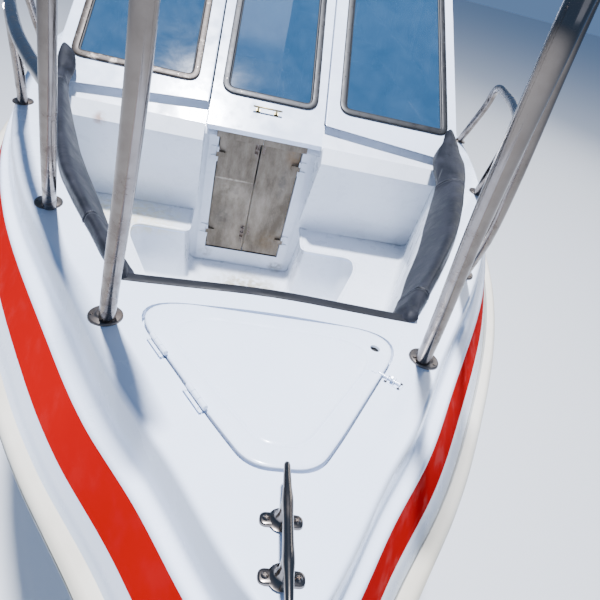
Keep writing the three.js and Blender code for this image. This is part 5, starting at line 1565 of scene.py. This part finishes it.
# %% Tower bolts
def on_door(piece, x, z, rides_on):
    """Sets a piece on the face of a door leaf, upright, at x and z in mm."""
    placed(piece, mm(x, BULKHEAD_Y - 0.2, z), UPWARD, Vector((0, -1, 0)))
    keep(piece, RUSTY, rides_on, "stainless")


# Each tower bolt sits on the starboard leaf's free edge: its middle's height, and the ends of its rod.
for name, z, rod_from, rod_to in (("door_bolt_top", 934, -40, 44), ("door_bolt_low", 420, -60, 40)):
    parts = [plate(-36, 36, -10, 10, 1.6, 2), rod(3.4, rod_from, rod_to, 0, 6), rod(3, -3, 1, 0, 11)]
    parts += [strap(x, 4, 6, 8, 1.1, 8) for x in (-27, 0, 27)]
    on_door(joined(name, parts, 40), -19, z, "door_leaf_starboard")
for name, z in (("door_strike_top", 934), ("door_strike_low", 430)):
    parts = [plate(-24, 24, -7, 7, 1.6, 2), rod(2.6, -16, -12, 0, 5), rod(2.6, 12, 16, 0, 5)]
    on_door(joined(name, parts), 18, z, "door_leaf_port")

# %% Grab handle on the centre panel
HANDLE_FEET, HANDLE_ENDS, HANDLE_V, HANDLE_OUT = (-53, 38), (-79, 66), 92, 24
parts = []
for x in HANDLE_FEET:
    parts.append(placed(plate(-11, 11, -11, 11, 2.4, 3), on_screen(x, HANDLE_V - 6, 0.3), ACROSS, SCREEN_OUT))
    line = ((6, 2), (3, HANDLE_OUT * 0.6), (0, HANDLE_OUT))
    post = [on_screen(x, HANDLE_V - down, out) for down, out in line]
    parts.append(sweep("post", post, circle(5, 14), upward=ACROSS))
first, last = HANDLE_ENDS
grip = ((2.5, first), (4.2, first + 2), (4.2, last - 2), (2.5, last))
parts.append(turned("bar", grip, 16, ACROSS, on_screen(0, HANDLE_V, HANDLE_OUT)))
handle = joined("screen_grab_handle", parts, 40)
keep(handle, BRASS, "centre_screen", "stainless")

# %% [markdown]
# ## Screws and rivets
# Every flange, frame and strake is held by screws or rivets. They repeat, so one Geometry Nodes tree puts a
# head on each point of a small mesh, turned to that point's own direction and spun by a seeded random angle.
# The recess is a thin cross on top in dark rusty steel, rust and painted shade of the hollow together. The
# result is made a plain mesh, one per body.

# %% Fastener tree
def sockets(tree, wanted):
    tree.interface.new_socket("Geometry", in_out="INPUT", socket_type="NodeSocketGeometry")
    for name, kind in wanted:
        tree.interface.new_socket(name, in_out="INPUT", socket_type="NodeSocket" + kind)
    tree.interface.new_socket("Geometry", in_out="OUTPUT", socket_type="NodeSocketGeometry")
    return add_node(tree, "NodeGroupInput").outputs


heads = bpy.data.node_groups.new("fastener_heads", "GeometryNodeTree")
given = sockets(heads, (("Head Radius", "Float"), ("Head Height", "Float"), ("Metal", "Material"),
        ("Recess Rust And Shade", "Material"), ("Seed", "Int")))
radius, height = given["Head Radius"], given["Head Height"]
dome_top = add_node(heads, "Math", {0: radius, 1: 0.62}, operation="MULTIPLY")
dome = add_node(heads, "GeometryNodeMeshCone", {"Vertices": 14, "Radius Top": dome_top,
        "Radius Bottom": radius, "Depth": height})
# The cross stands for the screw's recess. Its dark material is rust and painted shade of the hollow.
slot_wide = add_node(heads, "Math", {0: radius, 1: 0.2}, operation="MULTIPLY")
slot_deep = add_node(heads, "Math", {0: height, 1: 0.3}, operation="MULTIPLY")
size = add_node(heads, "CombineXYZ", {"X": radius, "Y": slot_wide, "Z": slot_deep})
slot_bar = add_node(heads, "GeometryNodeMeshCube", {"Size": size})
lifted = add_node(heads, "CombineXYZ", {"Z": height})
cross = []
for turn in (0.0, math.pi / 2):
    moved = add_node(heads, "GeometryNodeTransform", {"Geometry": slot_bar,
            "Translation": lifted, "Rotation": (0, 0, turn)})
    cross.append(moved.outputs[0])
marked = add_node(heads, "GeometryNodeJoinGeometry")
for part in cross:
    heads.links.new(part, marked.inputs[0])
noted = add_node(heads, "GeometryNodeStoreNamedAttribute",
        {"Geometry": marked, "Name": "recess_rust_and_shade", "Value": True}, data_type="BOOLEAN", domain="FACE")
head = add_node(heads, "GeometryNodeJoinGeometry")
for part in (dome.outputs["Mesh"], noted.outputs[0]):
    heads.links.new(part, head.inputs[0])
aim = add_node(heads, "GeometryNodeInputNamedAttribute", {"Name": "aim"}, data_type="FLOAT_VECTOR")
spin = add_node(heads, "FunctionNodeRandomValue", {2: 0.0, 3: math.pi, "Seed": given["Seed"]},
        data_type="FLOAT")
spun = add_node(heads, "CombineXYZ", {"Z": spin.outputs[1]})
facing = add_node(heads, "FunctionNodeAlignRotationToVector", {"Vector": aim}, axis="Z")
turned_by = add_node(heads, "FunctionNodeEulerToRotation", {0: spun})
rotation = add_node(heads, "FunctionNodeRotateRotation", {0: facing, 1: turned_by},
        rotation_space="LOCAL")
placed_heads = add_node(heads, "GeometryNodeInstanceOnPoints", {"Points": given["Geometry"], "Instance": head,
        "Rotation": rotation})
real = add_node(heads, "GeometryNodeRealizeInstances", {0: placed_heads})
metal_set = add_node(heads, "GeometryNodeSetMaterial", {"Geometry": real, "Material": given["Metal"]})
in_recess_rust_and_shade = add_node(heads, "GeometryNodeInputNamedAttribute", {"Name": "recess_rust_and_shade"}, data_type="BOOLEAN")
recess_rust_and_shade_set = add_node(heads, "GeometryNodeSetMaterial", {"Geometry": metal_set,
        "Selection": in_recess_rust_and_shade, "Material": given["Recess Rust And Shade"]})
add_node(heads, "NodeGroupOutput", {0: recess_rust_and_shade_set})


# %% Placing a tree's result
def grown(name, mesh, tree, values):
    """Runs a tree over a mesh and returns the plain result; inputs go in by their sockets' identifiers."""
    piece = mesh_object(name, mesh)
    modifier = piece.modifiers.new("grow", "NODES")
    modifier.node_group = tree
    names = {s.name: s.identifier for s in tree.interface.items_tree if s.in_out == "INPUT"}
    for key, value in values.items():
        modifier[names[key]] = value
    applied(piece)
    return piece


def fasteners(name, spots, radius_mm, height_mm, metal, recess_rust_and_shade, seed=1):
    mesh = bpy.data.meshes.new(name)
    mesh.from_pydata([tuple(at) for at, _ in spots], [], [])
    directions = mesh.attributes.new("aim", "FLOAT_VECTOR", "POINT")
    for i, (_, way) in enumerate(spots):
        directions.data[i].vector = way
    made = grown(name, mesh, heads, {"Head Radius": radius_mm * MM, "Head Height": height_mm * MM,
            "Metal": metal, "Recess Rust And Shade": recess_rust_and_shade, "Seed": seed})
    soften(made.data, 30)
    return made


# %% Screws on flanges, cleats and strake
for side in (1, -1):
    for x, y, _ in RAIL_FEET:
        at, normal = on_deck(side * x, y)
        flat = normal.cross(Vector((0.3, 1, 0))).normalized()
        for k in range(3):
            way = Matrix.Rotation(2 * math.pi * k / 3 + 0.5, 3, normal) @ flat
            screws["root"].append((at + way * (31 * MM) + normal * (7.7 * MM), normal))
keep(fasteners("deck_screws", screws["root"], 4.2, 1.9, BRIGHT, RUSTY, 3), None, "root", "stainless")
keep(fasteners("lid_screws", screws["hatch"], 3.6, 1.4, WHITE, RUSTY, 4), None, "hatch", "gelcoat_white")
cleat_spots = []
for _, _, x, y, _, spread, turn in CLEATS:
    for post in (-spread / 2, spread / 2):
        for wing in (-25, 25):
            local = Matrix.Rotation(turn, 3, "Z") @ Vector((wing, post, 0))
            at, normal = on_deck(x + local.x, y + local.y, 6.6)
            cleat_spots.append((at, normal))
keep(fasteners("cleat_screws", cleat_spots, 6.2, 2.6, BRIGHT, RUSTY, 5), None, "root", "stainless")

# %% Screws along the strake
STRAKE_PITCH, STRAKE_SCREW_OUT = 260, 38
strake_spots = []
for side in (1, -1):
    travelled, last = STRAKE_PITCH / 2, None
    for y in STATIONS:
        foot_at, out = strake_foot(y)
        at = foot_at + out * STRAKE_SCREW_OUT
        if last is not None:
            step = (at - last).length
            while travelled < step:
                spot = last.lerp(at, travelled / step)
                way = Vector((side * out.x, out.y, 0))
                strake_spots.append((mm(side * spot.x, spot.y, spot.z), way))
                travelled += STRAKE_PITCH
            travelled -= step
        last = at
keep(fasteners("strake_screws", strake_spots, 4.5, 2, BRIGHT, RUSTY, 6), None, "root", "stainless")

# %% Rivets round the windows
RIVET_PITCH, RIVET_INSET = 150, 17


def along_outline(outline, pitch, inset):
    """Points at an even pitch on a closed outline, moved inwards, and the spare shared out."""
    ring = outline + [outline[0]]
    count = max(3, round(sum((b - a).length for a, b in zip(ring, ring[1:])) / pitch))
    even = resampled(ring, count + 1)[:-1]
    area = sum(a.cross(b) for a, b in zip(ring, ring[1:]))
    spots = []
    for p in even:
        near = min(range(len(outline)), key=lambda k: (outline[k] - p).length)
        along = (ring[near + 1] - ring[near - 1 if near else -2]).normalized()
        inward = Vector((-along.y, along.x)) * (1 if area > 0 else -1)
        spots.append(p + inward * inset)
    return spots


for word, corners, side, body, _, _ in WINDOWS:
    ring = along_outline(window_outline(corners, side), RIVET_PITCH, RIVET_INSET)
    spots = [(on_screen(p.x, p.y, 10.2), SCREEN_OUT) for p in ring]
    keep(fasteners("window_rivets_" + word, spots, 3.4, 1.5, BRIGHT, RUSTY, 7), None, body, "stainless")

# %% [markdown]
# ### Stitching
# The pads' covers are sewn across at each seam, with a row of stitches to both sides of it. A second tree
# follows a line of edges laid on the cover and sets a short rounded thread at every pitch along it.

# %% Stitch tree
stitches = bpy.data.node_groups.new("thread_stitches", "GeometryNodeTree")
given = sockets(stitches, (("Pitch", "Float"), ("Thread Radius", "Float"), ("Thread", "Material")))
seam_line = add_node(stitches, "GeometryNodeMeshToCurve", {"Mesh": given["Geometry"]})
along = add_node(stitches, "GeometryNodeCurveToPoints", {"Curve": seam_line, "Length": given["Pitch"]},
        mode="LENGTH")
length = add_node(stitches, "Math", {0: given["Pitch"], 1: 0.66}, operation="MULTIPLY")
one = add_node(stitches, "GeometryNodeMeshCylinder", {"Vertices": 6, "Radius": given["Thread Radius"],
        "Depth": length})
way = add_node(stitches, "FunctionNodeAlignRotationToVector", {"Vector": along.outputs["Tangent"]}, axis="Z")
laid = add_node(stitches, "GeometryNodeInstanceOnPoints", {"Points": along.outputs["Points"],
        "Instance": one, "Rotation": way})
real = add_node(stitches, "GeometryNodeRealizeInstances", {0: laid})
coloured = add_node(stitches, "GeometryNodeSetMaterial", {"Geometry": real, "Material": given["Thread"]})
add_node(stitches, "NodeGroupOutput", {0: coloured})

# %% Stitches beside the pads' seams
STITCH_BESIDE, STITCH_PITCH, THREAD_R = 6.5, 6, 0.7


def lines_across(piece, planes, reach):
    """Edges where each plane (point, direction) cuts the piece near its point, just off the surface."""
    lines = bmesh.new()
    for at, direction in planes:
        body = bmesh.new()
        body.from_mesh(piece.data)
        far = [v for v in body.verts if (v.co - at).length > reach]
        bmesh.ops.delete(body, geom=far, context="VERTS")
        body.normal_update()
        cut = bmesh.ops.bisect_plane(body, geom=body.verts[:] + body.edges[:] + body.faces[:], plane_co=at,
                plane_no=direction, dist=1e-6)["geom_cut"]
        made = {}
        for item in cut:
            if isinstance(item, bmesh.types.BMVert):
                made[item] = lines.verts.new(item.co + item.normal * (0.2 * MM))
        for item in cut:
            if isinstance(item, bmesh.types.BMEdge) and all(v in made for v in item.verts):
                lines.edges.new([made[v] for v in item.verts])
        body.free()
    mesh = bpy.data.meshes.new("lines")
    lines.to_mesh(mesh)
    lines.free()
    return mesh


for side, word in SIDES:
    planes = []
    for at, direction in pad_planes[word]:
        flip = Vector((side, 1, 1))
        for beside in (-STITCH_BESIDE, STITCH_BESIDE):
            planes.append(((at + direction * (beside * MM)) * flip, direction * flip))
    lines = lines_across(bpy.data.objects["coaming_roll_" + word], planes, 0.16)
    sewn = grown("pad_stitches_" + word, lines, stitches,
            {"Pitch": STITCH_PITCH * MM, "Thread Radius": THREAD_R * MM, "Thread": THREAD})
    keep(sewn, None, "root", "vinyl_charcoal")

# %% [markdown]
# ## Cabin seats
# Four rows of benches stand on moulded plinths, each with a sewn cushion and a backrest. Both are foam under
# a tight cover, so they are blown up as cloth from a plain form like the coaming rolls. One of each is
# simulated, and the rows repeat the result, because they were made on one jig.

# %% Cushion and backrest forms
SEAT_PITCH, SEAT_FROM, SEAT_INNER, SEAT_OUTER, SEAT_COUNT = 720, -560, 260, 955, 4
CUSHION_HELD, BACKREST_HELD = 350, 455  # below these heights over the sole the covers hold still
SEAT_EDGE, SEAT_ENDS = 6, ((0, 0.8), (12, 0.95), (40, 1))  # the ends are drawn in, by share
CUSHION = ((0, 352), (62, 342), (395, 342), (402, 432), (300, 446), (60, 450), (4, 436))
BACKREST = ((412, 452), (486, 446), (584, 950), (562, 974), (512, 962), (500, 936))


def side_profile(name, rows, x0, x1, voxel):
    """A padded block from a side profile of (station, height over the sole), its ends slightly drawn in."""
    middle_y = sum(y for y, _ in rows) / len(rows)
    middle_z = sum(z for _, z in rows) / len(rows)
    rings = []
    ends = [(x0 + step, share) for step, share in SEAT_ENDS]
    for x, share in ends + [(x1 - step, share) for step, share in reversed(SEAT_ENDS)]:
        line = [Vector((middle_y, middle_z)).lerp(Vector(row), 0.97 * share) for row in rows]
        rings.append([mm(x, SEAT_FROM + p.x, FLOOR_Z + p.y) for p in line])
    return remeshed(skin(name, rings), voxel)


SEAT_VOXEL, SEAT_PRESSURE, SEAT_SWELL = 13, 4.0, 16
halves = []
for name, rows, held in (("cushion", CUSHION, CUSHION_HELD), ("backrest", BACKREST, BACKREST_HELD)):
    pad = side_profile(name, rows, SEAT_INNER + SEAT_EDGE, SEAT_OUTER - SEAT_EDGE, SEAT_VOXEL)
    inflated(pad, SEAT_PRESSURE, SEAT_SWELL, lambda co: float(co.z / MM < FLOOR_Z + held))
    halves.append(pad)
cushion, backrest = halves
for pad, y, z in ((cushion, SEAT_FROM + 200, FLOOR_Z + 400), (backrest, SEAT_FROM + 500, FLOOR_Z + 700)):
    seamed(pad, [(mm((SEAT_INNER + SEAT_OUTER) / 2, y, z), ACROSS)], reach=0.5)

# %% Rows of seats
for row in range(SEAT_COUNT):
    for side, word in SIDES:
        halves = []
        for pad in (cushion, backrest):
            half = mesh_object("half", pad.data.copy())
            if side < 0:
                turned_over(half)
            half.data.transform(Matrix.Translation(mm(0, row * SEAT_PITCH, 0)))
            halves.append(painted(half, SEAT_VINYL))
        bench = joined("bench_cushions_%d_%s" % (row + 1, word), halves, 60)
        keep(bench, None, "root", "seat_vinyl", "seat_row_%d_%s" % (row + 1, word))
for pad in (cushion, backrest):
    bpy.data.objects.remove(pad)

# %% Seat plinths
PLINTH_FROM, PLINTH_TO, PLINTH_TOP = 66, 462, 338
plinths = []
for row in range(SEAT_COUNT):
    y = SEAT_FROM + row * SEAT_PITCH
    for side in (1, -1):
        x0, x1 = sorted((side * (SEAT_INNER + 14), side * (SEAT_OUTER - 8)))
        low, high = (x0, y + PLINTH_FROM, FLOOR_Z + 1), (x1, y + PLINTH_TO, FLOOR_Z + PLINTH_TOP)
        plinths.append(block("plinth", low, high, 12))
keep(joined("seat_plinths", plinths), WHITE, "root", "gelcoat_white")

# %% [markdown]
# ## Helm and motor
# The console and the motor's castings are rounded copies of the frame's solids. The wheel is drawn anew: a
# round rim, three flat spokes with rolled edges, and a capped hub.

# %% Helm console
keep(moulded("helm_pod", "helm_console", 14), WHITE, "root", "gelcoat_white", "helm_console")

# %% Steering wheel
WHEEL_AT, WHEEL_TILT, WHEEL_R, RIM_R = Vector((-610, -985, 1060)), math.radians(60), 185, 13.5
SPOKE_SECTION = ((-15, -2), (-13, -4), (13, -4), (15, -2), (15, 2), (12, 5), (-12, 5), (-15, 2))
SPOKE_LINE = ((20, 8), (70, 7), (130, 3), (182, 0))  # out from the hub and up
HUB = ((30, -20), (40, -12), (42, 4), (38, 14), (28, 19), (12, 21), (2, 21.5))
rim_path = []
for k in range(96):
    a = 2 * math.pi * k / 96
    rim_path.append(Vector((math.cos(a), math.sin(a), 0)) * (WHEEL_R * MM))
parts = [sweep("rim", rim_path, circle(RIM_R, 16), closed=True, fixed_up=True)]
for degrees in (90, 210, 330):
    a = math.radians(degrees)
    path = [mm(math.cos(a) * r, math.sin(a) * r, z) for r, z in SPOKE_LINE]
    parts.append(sweep("spoke", path, SPOKE_SECTION, fixed_up=True))
parts += [turned("hub", HUB, 32), turned("shaft", ((16, -83), (16, -18)), 20)]
wheel = joined("wheel_rim_and_spokes", parts, 45)
wheel.data.transform(Matrix.Translation(WHEEL_AT * MM) @ Matrix.Rotation(-WHEEL_TILT, 4, "X"))
keep(wheel, BLACK_PLASTIC, "wheel", "black_plastic", "steering_wheel")

# %% Instruments and throttle
PANEL_FOOT, PANEL_UP = Vector((0, -1070, 980)), Vector((0, -0.5, 0.866))
PANEL_OUT = Vector((0, 0.866, 0.5))


def on_panel(x, v, out=0.0):
    return (Vector((x, 0, 0)) + PANEL_FOOT + PANEL_UP * v + PANEL_OUT * out) * MM


DIALS = ((-838, 100, 38), (-838, 30, 26), (-440, 104, 30), (-380, 104, 20))  # across, up the panel, radius
dials, faces, pointers = [], [], []
for x, v, r in DIALS:
    bezel = ((r, 0), (r + 4, 2), (r + 4, 5), (r + 1, 7.5), (r - 2, 6), (r - 3, 4))
    glass = ((r - 3, 3.4), (r - 3.2, 4.4), (1, 4.5))
    dials.append(turned("bezel", bezel, 32, PANEL_OUT, on_panel(x, v)))
    faces.append(turned("face", glass, 32, PANEL_OUT, on_panel(x, v)))
    needle = plate(-4, r * 0.68, -1.1, 1.1, 0.8, 0.8)
    pointers.append(placed(needle, on_panel(x, v, 5), PANEL_UP + Vector((0.5, 0, 0)), PANEL_OUT))
for k in range(5):
    dials.append(placed(plate(-8, 8, -5, 5, 5, 2), on_panel(-480 + k * 24, 36, 0.3), PANEL_UP, PANEL_OUT))
keep(joined("helm_dials", dials + pointers), BLACK_PLASTIC, "root", "black_plastic")
keep(joined("helm_dial_faces", faces), INSTRUMENT, "root", "gelcoat_white")
LEVER = ((-384, -1262, 1176), (-384, -1246, 1206), (-384, -1232, 1222))
LEVER_KNOB = ((6, 0), (14, 6), (16, 14), (12, 22), (3, 25))
lever = [Vector(p) * MM for p in LEVER]
control = joined("throttle_control", [
    block("box", (-402, -1330, 1120.3), (-366, -1190, 1178), 9),
    sweep("lever", lever, circle(6, 14), upward=ACROSS),
    turned("knob", LEVER_KNOB, 20, Vector((0, 0.4, 0.9)), lever[-1] - mm(0, 0, 6)),
], 40)
keep(control, BLACK_PLASTIC, "root", "black_plastic")

# %% Outboard motor
for name, node, body, slot, paint, radius in (
    ("transom_clamp", "motor_bracket", "root", "motor_alloy", MOTOR_PAINT, 6),
    ("tilt_swivel", "motor_swivel", "motor_tilt", "motor_alloy", MOTOR_PAINT, 6),
    ("drive_leg", "motor_leg", "motor_steer", "motor_alloy", MOTOR_PAINT, 8),
    ("propeller_blades", "propeller", "prop", "propeller_alloy", BLADE_PAINT, 2),
):
    keep(moulded(name, node, radius, 50, 0), paint, body, slot, node)
COWL_FRONT, COWL_REAR = 4000, 4200  # corners ahead of the first and behind the second move along too
COWL_TIGHTEN = 220  # the corners tighten in full by the time the crown has drawn in this far, mm
COWL_CORNERS = (  # x, y, corner radius
    (-146, 3894, 58), (146, 3894, 58), (200, 4120, 88), (166, 4386, 88), (-166, 4386, 88), (-200, 4120, 88),
)
COWL_LEVELS = (  # height, how much wider than the corners, how far the front sets back
    (539.3, -40, 0), (552, -34, 0), (575, -16, 0), (599, -2, 0), (605, 0, 0), (640, 2, 0), (700, 3, 0),
    (780, 2, 0), (850, 0, 0), (885, -4, 1), (915, -11, 4), (940, -23, 9), (960, -38, 15), (975, -56, 22),
    (984, -80, 30), (986, -110, 40),
)
rings = []
for z, grow, back_by in COWL_LEVELS:
    tight = min(1.0, 1 + grow / COWL_TIGHTEN)
    turn = []
    for x, y, r in COWL_CORNERS:
        aft = back_by - grow if y < COWL_FRONT else (grow if y > COWL_REAR else 0)
        turn.append((x + (grow if x > 0 else -grow), y + aft, r * tight))
    rings.append([mm(p.x, p.y, z) for p in rounded_outline(turn, 8)])
keep(skin("engine_cowl", rings, smooth_angle=50), COWL_PAINT, "motor_steer", "motor_cowl", "motor_cowl")

# %% [markdown]
# ## Floor and light
# A pale floor lies just under the motor's skeg, the boat's lowest point, so that the whole hull and the
# propeller show from the sides. A small strong lamp stands in for the sun, and two big soft ones for the sky.

# %% Floor
FLOOR_HALF = 30
FLOOR_AT = cad_low[2] - 0.005
turns = ((-1, -1), (1, -1), (1, 1), (-1, 1))
corners = [Vector((x * FLOOR_HALF, y * FLOOR_HALF, FLOOR_AT)) for x, y in turns]
floor = from_faces("studio_floor", corners, [(0, 1, 2, 3)])
painted(floor, finish("pale_studio_floor", "#d5d7d8", 0.7)[0])

# %% Lights
LIGHTS = (  # name, place, aim, size in m, watts, colour
    ("key", (-0.9, -2.1, 10.5), (0, -1.6, 1), 0.6, 4100, "#f2f5ff"),
    ("fill", (3.5, -8.0, 5.0), (0, -1, 1), 6, 90, "#dfeaff"),
    ("rim", (7.0, 5.0, 4.5), (0, 1, 1), 5, 330, "#ffffff"),
)
for name, at, aim, size, watts, colour in LIGHTS:
    data = bpy.data.lights.new(name, "AREA")
    data.shape = "SQUARE"
    data.size = size
    data.energy = watts
    data.color = linear(colour)[:3]
    lamp = bpy.data.objects.new(name, data)
    lamp.location = at
    lamp.rotation_euler = (Vector(aim) - Vector(at)).to_track_quat("-Z", "Y").to_euler()
    bpy.context.scene.collection.objects.link(lamp)
world = bpy.data.worlds.new("studio")
bpy.context.scene.world = world
world.use_nodes = True
sky = world.node_tree.nodes["Background"].inputs
sky["Color"].default_value = linear("#97c1ff")
sky["Strength"].default_value = 0.4
